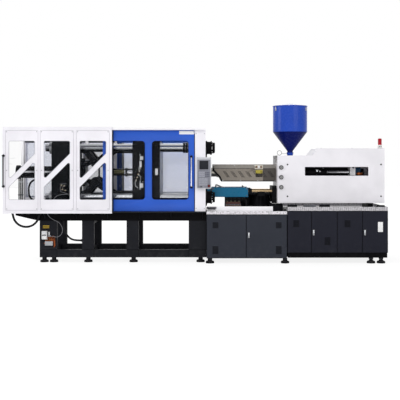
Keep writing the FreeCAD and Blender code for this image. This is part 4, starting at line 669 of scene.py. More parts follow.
class Layout(Graph):
    """Geometry Nodes tree with named inputs that ends in plain geometry with one finish."""

    def __init__(self, name, sizes):
        super().__init__(bpy.data.node_groups.new(name, "GeometryNodeTree"))
        face = self.tree.interface
        face.new_socket("Geometry", in_out="INPUT", socket_type="NodeSocketGeometry")
        for label, value in sizes.items():
            kind = "NodeSocketInt" if isinstance(value, int) else "NodeSocketFloat"
            face.new_socket(label, in_out="INPUT", socket_type=kind).default_value = value
        face.new_socket("Finish", in_out="INPUT", socket_type="NodeSocketMaterial")
        face.new_socket("Geometry", in_out="OUTPUT", socket_type="NodeSocketGeometry")
        self.start = self.tree.nodes.new("NodeGroupInput")

    def given(self, label):
        return Value(self, self.start.outputs[label])

    def joined(self, *parts):
        """Parts as one geometry."""
        join = self.tree.nodes.new("GeometryNodeJoinGeometry")
        for part in parts:
            self.link(part, join.inputs[0])
        return Value(self, join.outputs[0])

    def on_points(self, instance, **inputs):
        """One instance at every point of the seed."""
        points = self.node("GeometryNodeMeshToPoints", inputs={"Mesh": self.given("Geometry")})
        return self.node("GeometryNodeInstanceOnPoints",
                         inputs={"Points": points, "Instance": instance, **inputs})

    def close(self, geometry):
        """Realize, finish and hand over the geometry."""
        real = self.node("GeometryNodeRealizeInstances", inputs={"Geometry": geometry})
        coated = self.node("GeometryNodeSetMaterial",
                           inputs={"Geometry": real, "Material": self.given("Finish")})
        self.link(coated, self.tree.nodes.new("NodeGroupOutput").inputs["Geometry"])
        return self

    def run(self, name, seed, finish, body, slot, **sizes):
        """Plain mesh piece that the tree makes of a seed mesh."""
        rough = bpy.data.objects.new(name, seed)
        bpy.context.scene.collection.objects.link(rough)
        modifier = rough.modifiers.new("layout", "NODES")
        modifier.node_group = self.tree
        given = {**sizes, "Finish": FINISH[finish]}
        for item in self.tree.interface.items_tree:
            if item.in_out == "INPUT" and item.name in given:
                modifier[item.identifier] = given[item.name]
        graph = bpy.context.evaluated_depsgraph_get()
        mesh = bpy.data.meshes.new_from_object(rough.evaluated_get(graph))
        bpy.data.objects.remove(rough)
        mesh.name = name
        softened(mesh)
        placed(name, mesh, body, slot)


@cache
def bead_layout():
    """Round profile swept along every line of the seed mesh."""
    layout = Layout("bead along lines", {"Radius": 0.004, "Sides": 8})
    line = layout.node("GeometryNodeMeshToCurve", inputs={"Mesh": layout.given("Geometry")})
    ring = layout.node("GeometryNodeCurvePrimitiveCircle", {"mode": "RADIUS"},
                       {"Resolution": layout.given("Sides"), "Radius": layout.given("Radius")})
    return layout.close(layout.node("GeometryNodeCurveToMesh", inputs={
        "Curve": line, "Profile Curve": ring, "Fill Caps": True}))


@cache
def bolt_layout():
    """Hexagon head on a washer at every point, facing along the point's facing attribute."""
    layout = Layout("bolts on points", {"Radius": 0.012, "Height": 0.009, "Sides": 6})
    radius, height = layout.given("Radius"), layout.given("Height")
    head = layout.node("GeometryNodeMeshCylinder", inputs={
        "Vertices": layout.given("Sides"), "Radius": radius, "Depth": height})
    lift = layout.node("ShaderNodeCombineXYZ", inputs={2: height * 0.7})
    raised = layout.node("GeometryNodeTransform", inputs={"Geometry": head, "Translation": lift})
    washer = layout.node("GeometryNodeMeshCylinder", inputs={
        "Vertices": 16, "Radius": radius * 1.5, "Depth": height * 0.4})
    bolt = layout.joined(raised, washer)
    facing = layout.node("GeometryNodeInputNamedAttribute", {"data_type": "FLOAT_VECTOR"},
                         {"Name": "facing"})
    turn = layout.node("FunctionNodeAlignRotationToVector", {"axis": "Z"}, {"Vector": facing})
    return layout.close(layout.on_points(bolt, Rotation=turn))


@cache
def key_layout():
    """Rounded key cap at every point of the seed, standing out towards the front."""
    layout = Layout("keys on points", {"Width": 0.021, "Height": 0.016, "Rise": 0.004})
    size = layout.node("ShaderNodeCombineXYZ", inputs={
        0: layout.given("Width"), 1: layout.given("Rise"), 2: layout.given("Height")})
    cap = layout.node("GeometryNodeMeshCube", inputs={"Size": size})
    inner = layout.node("ShaderNodeVectorMath", {"operation": "MULTIPLY"},
                        {0: size, 1: (0.84, 1.5, 0.8)})
    crown = layout.node("GeometryNodeMeshCube", inputs={"Size": inner})
    return layout.close(layout.on_points(layout.joined(cap, crown)))


def bead(name, paths, radius, finish, body, slot, closed=False, sides=8):
    """Round profile along paths."""
    points, edges = [], []
    for path in paths:
        first, count = len(points), len(path)
        points += path
        edges += [(first + step, first + step + 1) for step in range(count - 1)]
        if closed:
            edges.append((first + count - 1, first))
    seed = bpy.data.meshes.new("paths")
    seed.from_pydata(points, edges, [])
    bead_layout().run(name, seed, finish, body, slot, Radius=radius, Sides=sides)


def spots(points, facing=FRONT):
    """Seed mesh of points that all face one way."""
    mesh = bpy.data.meshes.new("spots")
    mesh.from_pydata(points, [], [])
    attribute = mesh.attributes.new("facing", "FLOAT_VECTOR", "POINT")
    attribute.data.foreach_set("vector", list(facing) * len(points))
    return mesh


def bolts(name, points, radius, finish, body, slot, facing=FRONT, sides=6):
    """Bolt heads at points."""
    bolt_layout().run(name, spots(points, facing), finish, body, slot,
                      Radius=radius, Height=radius * 0.75, Sides=sides)


def screws(name, points, radius, body, slot, facing=FRONT, finish="zinc"):
    """Round screw heads at points."""
    bolts(name, points, radius, finish, body, slot, facing, 12)


def rounded(corners, radius, y, steps=5):
    """Outline in X and Z with its corners rounded, at one Y."""
    path = []
    for index, corner in enumerate(corners):
        corner = Vector(corner)
        before = (Vector(corners[index - 1]) - corner).normalized()
        after = (Vector(corners[(index + 1) % len(corners)]) - corner).normalized()
        half = before.angle(after) / 2
        inset = radius / math.tan(half)
        centre = corner + (before + after).normalized() * (radius / math.sin(half))
        start, end = corner + before * inset - centre, corner + after * inset - centre
        swing = start.angle_signed(end)
        for step in range(steps + 1):
            turn = -swing * step / steps
            x = start.x * math.cos(turn) - start.y * math.sin(turn)
            z = start.x * math.sin(turn) + start.y * math.cos(turn)
            path.append((centre.x + x, y, centre.y + z))
    return path


def oblong(x, z):
    """Corners of a rectangle."""
    return [(x[0], z[0]), (x[1], z[0]), (x[1], z[1]), (x[0], z[1])]


def circle(x, radius, z, count=72, first=0.0):
    """Level circle of points about a place on the machine's middle line."""
    turns = [math.radians(first + 360 * step / count) for step in range(count)]
    return [(x + radius * math.cos(turn), radius * math.sin(turn), z) for turn in turns]


def button(outer, edge, depth, face):
    """Profile of a round button: radius and height of its edge, height and radius of its face."""
    return [(0.0, outer), (edge, outer), (depth, face), (depth, 0.0)]


# ------------------------------------------------------------------ hoses and cables
def route_hose(name, node, body, slot, finish, plane, diameter, route):
    """Free hose on its NURBS line, that stands for its CAD tube."""
    curve = bpy.data.curves.new(name, "CURVE")
    curve.dimensions = "3D"
    curve.bevel_depth = diameter / 2
    curve.bevel_resolution = 5
    curve.resolution_u = 10
    curve.use_fill_caps = True
    line = curve.splines.new("NURBS")
    line.points.add(len(route) - 1)
    for point, (x, z) in zip(line.points, route):
        point.co = (x, plane, z, 1.0)
    line.order_u = 3
    line.use_endpoint_u = True
    curve.materials.append(FINISH[finish])
    hose = placed(name, curve, body, slot, node)


class MACHINE_OT_hoses(bpy.types.Operator):
    """Make the conduit, the grease cable, the bay hose and the clamp hose"""

    bl_idname = "machine.hoses"
    bl_label = "Hoses"

    def execute(self, context):
        route_hose("conduit", "conduit_hose", "bed", "rubber_black", "hose black",
                   -0.735, 0.044,
                   [(-3.690, 0.985), (-3.674, 0.896), (-3.624, 0.810), (-3.538, 0.742),
                    (-3.421, 0.715), (-3.303, 0.740), (-3.216, 0.806), (-3.166, 0.893),
                    (-3.150, 0.981)])
        route_hose("grease_cable", "lubricator_cable", "bed", "cable_grey", "cable grey",
                   -0.700, 0.012,
                   [(-3.010, 1.001), (-2.968, 0.924), (-2.878, 0.861), (-2.776, 0.820),
                    (-2.709, 0.746), (-2.683, 0.649), (-2.714, 0.554), (-2.801, 0.504),
                    (-2.890, 0.530), (-2.985, 0.530)])
        route_hose("oil_hose", "bay_hose", "bed", "rubber_black", "hose black",
                   -0.610, 0.038,
                   [(-2.680, 0.825), (-2.680, 0.700), (-2.638, 0.574), (-2.558, 0.478),
                    (-2.456, 0.437), (-2.330, 0.437)])
        route_hose("cylinder_hose", "clamp_hose", "tail", "rubber_black", "hose black",
                   -0.060, 0.040,
                   [(-3.240, 1.668), (-3.360, 1.668), (-3.455, 1.618), (-3.503, 1.522),
                    (-3.507, 1.400), (-3.487, 1.292), (-3.417, 1.228), (-3.295, 1.212),
                    (-2.985, 1.212)])
        return {"FINISHED"}


# ------------------------------------------------------------------ clamp guards
def window_loops(windows, plane, corner=0.060):
    """Rims of plain rounded windows."""
    return [rounded(oblong((left, left + width), WINDOW_Z), corner, plane)
            for left, width in windows]


def split_loops(windows, plane, half_bar=0.075, corner=0.028):
    """Rims of the openings above and below each diagonal bar."""
    loops = []
    low, high = WINDOW_Z
    middle = (low + high) / 2
    for left, width in windows:
        right, rise = left + width, width / 2
        above = [(left, middle - rise + half_bar), (right, middle + rise + half_bar),
                 (right, high), (left, high)]
        below = [(left, low), (right, low), (right, middle + rise - half_bar),
                 (left, middle - rise - half_bar)]
        loops += [rounded(above, corner, plane), rounded(below, corner, plane)]
    return loops


def near_post(point, x, posts, reach=0.024):
    """Whether a point is on one of a handle's end posts."""
    return any(abs(point.z - z) < reach and abs(point.x - x) < reach for z in posts)


class MACHINE_OT_toggle_guard(bpy.types.Operator):
    """Finish the white sliding guard with its panes, gaskets, seams, screws and grab bar"""

    bl_idname = "machine.toggle_guard"
    bl_label = "Sliding guard"

    def execute(self, context):
        sizes = context.scene.machine_sizes
        home = ("toggle_guard", "guard_white")

        def choose(point, normal, part):
            if is_sheet(part):
                return "clear pane"
            if point.y < FRONT_PLANE - 0.0005:
                on_post = near_post(point, GUARD_BAR_X, GUARD_POSTS)
                return "black plastic" if on_post else "dark steel"
            return "guard white"

        dressed("sliding_guard", "toggle_guard", choose, "guard_white")
        rims = split_loops(GUARD_WINDOWS, FRONT_PLANE - 0.0005)
        bead("guard_gaskets", rims, sizes.gasket * 0.8, "seal grey", "toggle_guard",
             "rubber_black", True)
        panels = [(-3.798, -3.146), (-3.102, -2.436), (-2.380, -1.720)]
        # The grey of the seam beads is partly painted shade in the seams between the guard's panels.
        seams = [rounded(oblong(span, (1.066, 2.660)), 0.02, FRONT_PLANE) for span in panels]
        bead("guard_seams", seams, sizes.seam, "seam grey", *home, True, 6)
        heads = [(x, FRONT_PLANE - 0.001, z) for left, right in panels
                 for x in (left + 0.026, right - 0.026) for z in (1.092, 1.862, 2.634)]
        screws("guard_screws", heads, sizes.screw, *home)
        collars = Stock()
        for z in GUARD_POSTS:
            collars.turned((GUARD_BAR_X, FRONT_PLANE, z), FRONT,
                           [(0.0, 0.027), (0.006, 0.027), (0.010, 0.021), (0.056, 0.0205)],
                           "black plastic")
        # Rubber strip on the guard's right edge; its black also stands in for the shade in the gap
        # between the guard and the blue door.
        collars.slab((-1.6655, -0.868, 1.045), (-1.649, -0.800, 2.665), "rubber", 0.003)
        collars.piece("guard_bar_posts", "toggle_guard", "rubber_black")
        return {"FINISHED"}


class MACHINE_OT_blue_doors(bpy.types.Operator):
    """Finish the blue sliding doors with gaskets, buffers, bare plate and grab bars"""

    bl_idname = "machine.blue_doors"
    bl_label = "Blue doors"

    def execute(self, context):
        gasket = context.scene.machine_sizes.gasket

        def front(point, normal, part):
            if point.y < DOOR_PLANE - 0.0005:
                return "rubber" if near_post(point, DOOR_BAR_X, DOOR_POSTS) else "chrome"
            return "door blue"

        def rear(point, normal, part):
            if point.y > -FRONT_PLANE + 0.0005:
                on_post = near_post(point, DOOR_BAR_X, GUARD_POSTS)
                return "door blue dark" if on_post else "chrome"
            return "door pane" if is_sheet(part) else "door blue"

        dressed("blue_door", "front_door", front, "door_blue", 0.003)
        dressed("rear_blue_door", "rear_door", rear, "door_blue")
        for name, body, plane in (("door_gaskets", "front_door", DOOR_PLANE - 0.0005),
                                  ("rear_door_gaskets", "rear_door", -FRONT_PLANE + 0.0005)):
            bead(name, window_loops(DOOR_WINDOWS, plane), gasket, "rubber", body, "rubber_black",
                 True)
        trims = Stock()
        trims.slab((-0.0268, -0.786, 1.045), (-0.0120, -0.767, 2.600), "rubber", 0.002)
        trims.slab((-0.328, -0.7965, 2.586), (-0.031, -0.7945, 2.653), "bare plate", 0.0008)
        for z in DOOR_POSTS:
            trims.turned((DOOR_BAR_X, DOOR_PLANE, z), FRONT,
                         [(0.0, 0.032), (0.010, 0.032), (0.014, 0.028), (0.056, 0.027)],
                         "door blue dark")
        trims.piece("door_trims", "front_door", "door_blue")
        # Painted shade: a navy slab on the rear door's inner stile, seen through the window, with
        # the grey edge of the window beside it.
        stile_shade = Stock()
        for left, right, finish in ((-1.739, -1.642, "door blue dark"),
                                    (-1.642, -1.592, "seal grey")):
            stile_shade.slabs(finish, 0.0, ((left, right), (0.8675, 0.8700), WINDOW_Z))
        stile_shade.piece("rear_door_stile_shade", "rear_door", "door_blue")
        rivets = [(x, -0.7965, 2.6195) for x in (-0.318, -0.041)]
        screws("plate_rivets", rivets, 0.003, "front_door", "door_blue")
        return {"FINISHED"}


class MACHINE_OT_rear_guard(bpy.types.Operator):
    """Finish the fixed rear guard, the guard rails and the screws of the column covers"""

    bl_idname = "machine.rear_guard"
    bl_label = "Rear guard and rails"

    def execute(self, context):
        sizes = context.scene.machine_sizes
        dressed("fixed_rear_guard", "rear_guard",
                lambda point, normal, part: "rear pane" if is_sheet(part) else "guard white",
                "guard_white")
        dressed("rails", "guard_rails",
                lambda point, normal, part: "frame black" if point.z < BEAM_TOP else "rail white",
                "frame_black", 0.002)
        windows = [(-3.715 + 0.656 * step, 0.576) for step in range(3)]
        bead("rear_gaskets", window_loops(windows, 0.7955), sizes.gasket, "rubber", "bed",
             "rubber_black", True)
        strip = Stock()
        # A thin rubber strip along the top of the rear windows; its black also stands in for the
        # shade on the rear guard's frame.
        strip.slab((-3.760, 0.7585, 2.452), (-1.790, 0.7600, 2.492), "rubber")
        strip.piece("rear_guard_seal_and_shade", "bed", "rubber_black")
        heads = [(-3.755 + 0.656 * step, 0.796, z) for step in range(4) for z in (1.10, 1.86, 2.62)]
        screws("rear_guard_screws", heads, sizes.screw, "bed", "guard_white", REAR)
        for name, side in SIDES:
            heads = [(x, side * 0.796, z) for x in (0.012, 0.178) for z in (1.10, 2.60)]
            screws(f"cover_screws_{name}", heads, sizes.screw, "bed", "guard_white", (0, side, 0))
        return {"FINISHED"}


# ------------------------------------------------------------------ clamp
def on_pin(point, normal, x):
    """Whether a face is the end of a toggle pin at a place along X."""
    reach = math.hypot(point.x - x, abs(point.z - AXIS) - TOGGLE_OFFSET)
    return reach < 0.0452 and abs(normal.y) > 0.5 and abs(point.y) > 0.38


def tail_finish(point, normal, part):
    across, up = abs(point.y) - TIE_OFFSET, abs(point.z - AXIS) - TIE_OFFSET
    if point.x < -2.926 and math.hypot(across, up) < 0.13:
        return "steel"
    on_rod = (point.x > -2.486 and abs(point.y) < 0.03
              and abs(abs(point.z - AXIS) - 0.24) < 0.03)
    return "ground bar" if on_rod or on_pin(point, normal, -2.310) else "platen black"


def moving_finish(point, normal, part):
    if on_pin(point, normal, -1.700):
        return "ground bar"
    return "steel" if normal.x > 0.9 and point.x > -0.7245 else "platen black"


def cylinder_finish(point, normal, part):
    if point.y < -0.134 and 1.805 < point.z < 1.8435 and point.x > -3.64:
        return "chrome"
    if point.z < 1.26 or point.z < 1.70 and point.x > -3.25 and abs(point.y + 0.06) < 0.04:
        return "zinc"
    return "carriage black"


def crosshead_finish(point, normal, part):
    return "chrome" if point.x < -2.52 or abs(point.z - AXIS) > 0.2901 else "link black"


def ejector_finish(point, normal, part):
    on_piston = (-1.734 < point.x < -1.484 and math.hypot(point.y, point.z - AXIS) < 0.049)
    return "bronze" if on_piston else "link black"


def plate_finish(point, normal, part):
    return "link black" if abs(point.x + 1.455) < 0.0155 else "chrome"


def beam_finish(point, normal, part):
    return "steel" if point.z > BEAM_TOP else "beam black"


class MACHINE_OT_clamp(bpy.types.Operator):
    """Finish the platens, cylinder, crosshead and ejector, with their oil fittings"""

    bl_idname = "machine.clamp"
    bl_label = "Clamp"

    def execute(self, context):
        for name, node, choose, slot in (
                ("tail_casting", "tail_platen", tail_finish, "platen_black"),
                ("moving_casting", "moving_platen", moving_finish, "platen_black"),
                ("cylinder", "clamp_cylinder", cylinder_finish, "platen_black"),
                ("toggle_crosshead", "crosshead", crosshead_finish, "bar_steel"),
                ("ejector", "ejector_unit", ejector_finish, "platen_black"),
                ("ejector_rods", "ejector_plate", plate_finish, "bar_steel"),
                ("bed_beams", "top_beams", beam_finish, "beam_black")):
            dressed(name, node, choose, slot)
        platen_fittings()
        tie_bar_collars()
        tail_fittings()
        bed_details()
        tail_pipes()
        return {"FINISHED"}


def platen_fittings():
    """Oil fittings, distributor, switch box and pipes of the moving platen."""
    face = PLATEN_FACE
    stock = Stock()
    for x, depth, z, round_by in (((-1.127, -1.062), 0.028, (2.070, 2.147), 0.010),
                                  ((-1.140, -1.094), 0.022, (1.925, 2.045), 0.006),
                                  ((-1.135, -1.062), 0.034, (1.505, 1.600), 0.012)):
        stock.slabs("white plastic", round_by, (x, (face - depth, face), z))
    for z in (2.170, 1.905, 1.62, 1.49):
        stock.stub((-1.125, face - 0.016, z - 0.022), UP, 0.044, 0.013, "zinc")
    for step in range(4):
        x, z = -1.205 + 0.022 * step, 1.66 + 0.06 * step
        stock.stub((x, face, z), FRONT, 0.030, 0.012, "white plastic")
        stock.stub((x, face - 0.030, z), FRONT, 0.010, 0.008, "brass", 6)
    stock.slab((-0.820, face - 0.052, 1.765), (-0.765, face, 1.897), "white plastic", 0.008)
    stock.bar((-0.80, face - 0.03, 1.765), (-0.80, face - 0.03, 1.735), 0.011, "black plastic", 12)
    stock.piece("platen_fittings", "moving_half", "lubricator_white")
    runs = [[(-1.125, 0.016, 2.10), (-1.128, 0.018, 1.99), (-1.150, 0.020, 1.90),
             (-1.139, 0.028, 1.84)],
            [(-1.161, 0.034, 1.78), (-1.120, 0.040, 1.74), (-1.112, 0.030, 1.68),
             (-1.125, 0.020, 1.61)],
            [(-1.205, 0.036, 1.66), (-1.225, 0.034, 1.62), (-1.215, 0.026, 1.54),
             (-1.165, 0.020, 1.50)]]
    pipes = [[(x, face - off, z) for x, off, z in run] for run in runs]
    bead("platen_pipes", pipes, 0.007, "zinc", "moving_half", "bar_steel")


def tie_bar_collars():
    """Rings on the tie-bar nuts, two black rings on a bar, and a strip on the fixed platen."""
    collar = Stock()
    for y in (-TIE_OFFSET, TIE_OFFSET):
        for z in (-TIE_OFFSET, TIE_OFFSET):
            collar.turned((0.346, y, AXIS + z), RIGHT,
                          [(0.0, 0.0), (0.0, 0.106), (0.038, 0.106), (0.047, 0.098),
                           (0.047, 0.062), (0.022, 0.055), (0.022, 0.0)], "platen black", 32)
    for x in (-0.258, -0.206):
        collar.turned((x, -TIE_OFFSET, AXIS + TIE_OFFSET), RIGHT,
                      [(0.0, 0.080), (0.0, 0.104), (0.004, 0.108), (0.042, 0.108),
                       (0.046, 0.104), (0.046, 0.080)], "black plastic")
    collar.slab((0.2115, -0.610, 1.140), (0.2300, -0.560, 2.450), "platen black", 0.003)
    collar.piece("tie_bar_collar", "bed", "platen_black")


def tail_fittings():
    """Grease fittings of the tail platen, and three hoses with clips under the cylinder."""
    tail = Stock()
    for x, z in ((-2.720, 1.560), (-2.665, 1.545), (-2.700, 1.475), (-2.640, 1.455)):
        tail.stub((x, PLATEN_FACE, z), FRONT, 0.024, 0.014, "zinc")
        tail.stub((x, PLATEN_FACE - 0.024, z), FRONT, 0.012, 0.009, "brass", 6)
    tail.slab((-2.745, -0.652, 1.575), (-2.625, -0.640, 1.600), "dark steel", 0.003)
    for step in range(3):
        x, low = -3.700 + 0.034 * step, 1.085 + 0.02 * step
        tail.bar((x, -0.100, 1.720), (x, -0.100, low), 0.013, "hose black", 12)
        tail.stub((x, -0.100, 1.600), UP, 0.025, 0.016, "zinc", 6)
    for z in ((1.330, 1.350), (1.075, 1.110)):
        tail.slabs("dark steel", 0.002, ((-3.722, -3.610), (-0.118, -0.082), z))
    tail.piece("tail_fittings", "tail", "bar_steel")


def tail_pipes():
    """Thin grease pipes on the front of the tail platen."""
    runs = [[(-2.885, -0.652, 1.245), (-2.865, -0.655, 1.300), (-2.800, -0.660, 1.350),
             (-2.700, -0.664, 1.375), (-2.560, -0.664, 1.380), (-2.498, -0.652, 1.378)],
            [(-2.700, -0.664, 1.475), (-2.690, -0.672, 1.520), (-2.665, -0.672, 1.545)],
            [(-2.720, -0.664, 1.560), (-2.745, -0.668, 1.500), (-2.730, -0.662, 1.430),
             (-2.640, -0.660, 1.400), (-2.600, -0.652, 1.381)]]
    bead("tail_pipes", runs, 0.0055, "cable grey", "tail", "cable_grey")


def bed_details():
    """Seams of the bed's box sections, discs and nuts of the feet, and the joint strips."""
    seam_plane = 0.6605
    posts = [span[1] for span in BED_PILLARS[:3]] + [BED_PILLARS[3][0]]
    paths = [[(x, side * seam_plane, SILL_TOP) for x in span]
             for _, side in SIDES for span in BED_PILLARS]
    paths += [[(x, side * seam_plane, z) for z in (SILL_TOP, 0.104)]
              for _, side in SIDES for x in posts]
    bead("bed_seams", paths, 0.004, "plinth black", "bed", "frame_black", sides=6)
    feet = Stock()
    for x, half, top in FEET:
        for y in (-half, half):
            feet.turned((x, y, 0.0), UP,
                        [(0.0005, 0.076), (0.006, 0.084), (0.030, 0.0845), (0.044, 0.076),
                         (0.050, 0.050), (0.062, 0.036), (top - 0.030, 0.034),
                         (top - 0.028, 0.046), (top - 0.0005, 0.046)], "levelling foot", 24)
    feet.piece("feet_discs", "bed", "rubber_black")
    joint = Stock()
    for y in ((-0.650, -0.640), (0.640, 0.650)):
        joint.slabs("rubber", 0.0, ((0.2112, 0.2208), y, (0.100, 0.980)))
    joint.piece("joint_strips", "bed", "frame_black")


KEY_COLUMNS = (0.078, 0.108, 0.138, 0.168, 0.198, 0.228)
KEY_ROWS = (1.820, 1.782, 1.744)
STOP_PLACE = (0.268, 1.552)


class MACHINE_OT_control_panel(bpy.types.Operator):
    """Finish the operator's panel: frame, screen, key field, stop button ring and dial"""

    bl_idname = "machine.control_panel"
    bl_label = "Control panel"

    def execute(self, context):
        home = ("bed", "panel_grey")
        width = context.scene.machine_sizes.key

        def choose(point, normal, part):
            if -0.8935 < point.y < -0.8855 and 0.081 < point.x < 0.253 and 1.887 < point.z < 2.051:
                return "screen" if abs(normal.y) > 0.5 else "black plastic"
            if point.y < -0.8801 and 0.037 < point.x < 0.299 and 1.513 < point.z < 2.079:
                return "panel field"
            return "panel frame"

        dressed("panel_case", "control_box", choose, "panel_grey", 0.0015)
        letters = [(x, z) for z in KEY_ROWS for x in KEY_COLUMNS[:4]]
        letters += [(x, z) for z in (1.690, 1.652, 1.614, 1.576) for x in KEY_COLUMNS]
        digits = [(x, z) for z in KEY_ROWS for x in (0.208, 0.238, 0.268)]
        under_screen = [(0.095 + 0.029 * step, 1.868) for step in range(6)]
        for name, keys, finish, wide, high, rise in (
                ("panel_keys", letters, "key grey", width, 0.026, 0.004),
                ("panel_digits", digits, "key dark", width, 0.026, 0.004),
                ("key_symbols", letters, "key dark", 0.011, 0.010, 0.0075),
                ("screen_keys", under_screen, "key dark", 0.019, 0.010, 0.003)):
            seed = spots([(x, -0.8955, z) for x, z in keys])
            key_layout().run(name, seed, finish, *home, Width=wide, Height=high, Rise=rise)
        screen = rounded(oblong((0.080, 0.254), (1.886, 2.052)), 0.006, -0.8945)
        bead("screen_rim", [screen], 0.0025, "black plastic", *home, True)
        bits = Stock()
        x, z = STOP_PLACE
        bits.turned((x, -0.894, z), FRONT,
                    [(0.0, 0.0125), (0.0, 0.028), (0.003, 0.028), (0.005, 0.025), (0.005, 0.0125)],
                    "rubber")
        bits.turned((0.112, -0.894, 1.535), FRONT,
                    [(0.0, 0.014), (0.010, 0.012), (0.012, 0.010), (0.012, 0.0)],
                    "black plastic", 20)
        bits.turned((0.160, -0.894, 1.535), FRONT, button(0.009, 0.005, 0.007, 0.006), "zinc", 20)
        bits.slab((0.036, -0.8825, 2.088), (0.300, -0.8795, 2.116), "header grey", 0.001)
        bits.piece("panel_bits", *home)
        cap = Stock()
        cap.turned((x, -0.919, z), FRONT,
                   [(0.0, 0.0), (0.0, 0.0225), (0.003, 0.0235), (0.0065, 0.022),
                    (0.0095, 0.016), (0.011, 0.008), (0.0115, 0.0)], "stop red", 32)
        cap.piece("stop_cap", "stop_button", "stop_red")
        heads = [(x, -0.8805, z) for x in (0.029, 0.307) for z in (1.506, 1.812, 2.118)]
        screws("panel_screws", heads, 0.0038, *home)
        return {"FINISHED"}


# ------------------------------------------------------------------ cabinets
DRIVE_Z, POWER_Z = (0.106, 0.975), (0.216, 1.045)
# Span along X and along Z of each door leaf.
DOOR_EDGES = {
    "drive_door_left": ((0.226, 1.011), DRIVE_Z),
    "drive_door_right": ((1.023, 1.828), DRIVE_Z),
    "power_door_1": ((1.848, 2.317), POWER_Z),
    "power_door_2": ((2.329, 2.833), POWER_Z),
    "power_door_3": ((2.845, 3.337), POWER_Z),
    "power_door_4": ((3.349, 3.850), POWER_Z),
}
# Place along X, top and number of slots of each group.
VENTS = {
    "drive_door_left": [(0.399, 0.827, 6), (0.399, 0.350, 8)],
    "drive_door_right": [(1.666, 0.827, 6), (1.666, 0.350, 8)],
    "power_door_1": [(2.017, 0.869, 7)],
    "power_door_2": [(2.643, 0.528, 8)],
    "power_door_3": [(3.043, 0.869, 7)],
}
SLOT_PITCH = 0.020


class MACHINE_OT_cabinets(bpy.types.Operator):
    """Finish the cabinets with louvre hoods, dust screens, latch plates, plinth and rear screws"""

    bl_idname = "machine.cabinets"
    bl_label = "Cabinets"

    def execute(self, context):
        dressed("power_case", "power_cabinet",
                lambda point, normal, part: "plinth black" if point.z < 0.2079 else "power grey",
                "cabinet_dark")
        for door, vents in VENTS.items():
            louvres(door, vents)
        for latch, door, x, z in (("drive_latch", "drive_door_right", 1.067, 0.564),
                                  ("power_latch_left", "power_door_2", 2.365, 0.616),
                                  ("power_latch_right", "power_door_4", 3.393, 0.616)):
            latch_trims(latch, door, x, z)
        for door, (x, z) in DOOR_EDGES.items():
            door_edge(door, x, z)
        plate = Stock()
        plate.slab((3.653, CABINET_PLANE - 0.0015, 0.629), (3.753, CABINET_PLANE, 0.829),
                   "bare plate", 0.0006)
        plate.piece("rating_plate", "power_door_4", "cabinet_dark")
        heads = [(x, 0.861, z) for x in (0.25, 1.03, 1.80) for z in (0.16, 0.54, 0.92)]
        heads += [(x, 0.861, z) for x in (1.88, 2.52, 3.18, 3.82) for z in (0.27, 0.62, 0.99)]
        screws("cabinet_rear_screws", heads, 0.007, "bed", "cabinet_dark", REAR)
        heads = [(3.856, y, z) for y in (-0.78, 0.0, 0.78) for z in (0.27, 0.62, 0.99)]
        screws("cabinet_end_screws", heads, 0.007, "bed", "cabinet_dark", RIGHT)
        return {"FINISHED"}


def door_edge(door, x, z, half=0.0026):
    """Dark flush line round a door leaf, where the gaps to its neighbours are seen."""
    line = Stock()
    depth = (CABINET_PLANE - 0.0003, CABINET_PLANE + 0.0002)
    for place in x:
        line.slabs("vent black", 0.0,
                   ((place - half, place + half), depth, (z[0] - half, z[1] + half)))
    for place in z:
        line.slabs("vent black", 0.0,
                   ((x[0] + half, x[1] - half), depth, (place - half, place + half)))
    line.piece(f"{door}_edge", door, "cabinet_dark")


def louvres(door, vents):
    """Pressed hoods over the slots of a door, and a dark screen behind them."""
    hoods = Stock()
    screen = (CABINET_PLANE + 0.0232, CABINET_PLANE + 0.0244)
    for x, top, rows in vents:
        for row in range(rows):
            high = top - SLOT_PITCH * row - 0.0075
            low = high - 0.0125
            section = [(0.0, high), (0.005, low + 0.003), (0.0065, low), (0.0045, low),
                       (0.0, high - 0.005)]
            hoods.prism([(x - 0.058, CABINET_PLANE - out, z) for out, z in section],
                        (0.116, 0.0, 0.0), "vent black")
        hoods.slabs("black plastic", 0.0,
                    ((x - 0.066, x + 0.066), screen, (top - SLOT_PITCH * rows - 0.012, top + 0.004)))
    hoods.piece(f"{door}_louvres", door, "cabinet_dark")


def latch_trims(latch, door, x, z):
    """Escutcheon under a turn latch, its grip and its lock barrel."""
    plate = Stock()
    plate.slab((x - 0.021, CABINET_PLANE - 0.0004, z - 0.066), (x + 0.021, CABINET_PLANE, z + 0.066),
               "black plastic")
    plate.piece(f"{latch}_plate", door, "cabinet_dark")
    grip = Stock()
    grip.slab((x - 0.0155, CABINET_PLANE - 0.017, z - 0.0545),
              (x + 0.0155, CABINET_PLANE - 0.0006, z + 0.0545), "zinc", 0.004)
    grip.turned((x, CABINET_PLANE - 0.016, z), FRONT, button(0.010, 0.004, 0.005, 0.008),
                "chrome", 20)
    grip.piece(f"{latch}_grip", latch, "latch_silver")


# ------------------------------------------------------------------ injection end
FIRST_VALVE, VALVE_PITCH = 0.648, 0.082


class MACHINE_OT_injection_bed(bpy.types.Operator):
    """Finish the rods, the round base, the valve block and the piping in the drive tray"""

    bl_idname = "machine.injection_bed"
    bl_label = "Injection bed"

    def execute(self, context):
        def rods(point, normal, part):
            across, up = abs(point.y) - SEAT_AXIS[0], point.z - SEAT_AXIS[1]
            on_rod = math.hypot(across, up) < 0.0302 and abs(normal.x) < 0.999
            return "brass rod" if on_rod else "carriage black"

        dressed("swivel_and_rods", "carriage_rods", rods, "link_black")
        dressed("valves", "valve_block",
                lambda point, normal, part: "dark steel" if point.z < 1.161 else "black plastic",
                "bar_steel", 0.003)
        tray_blocks()
        valve_fittings()
        seat_fittings()
        return {"FINISHED"}


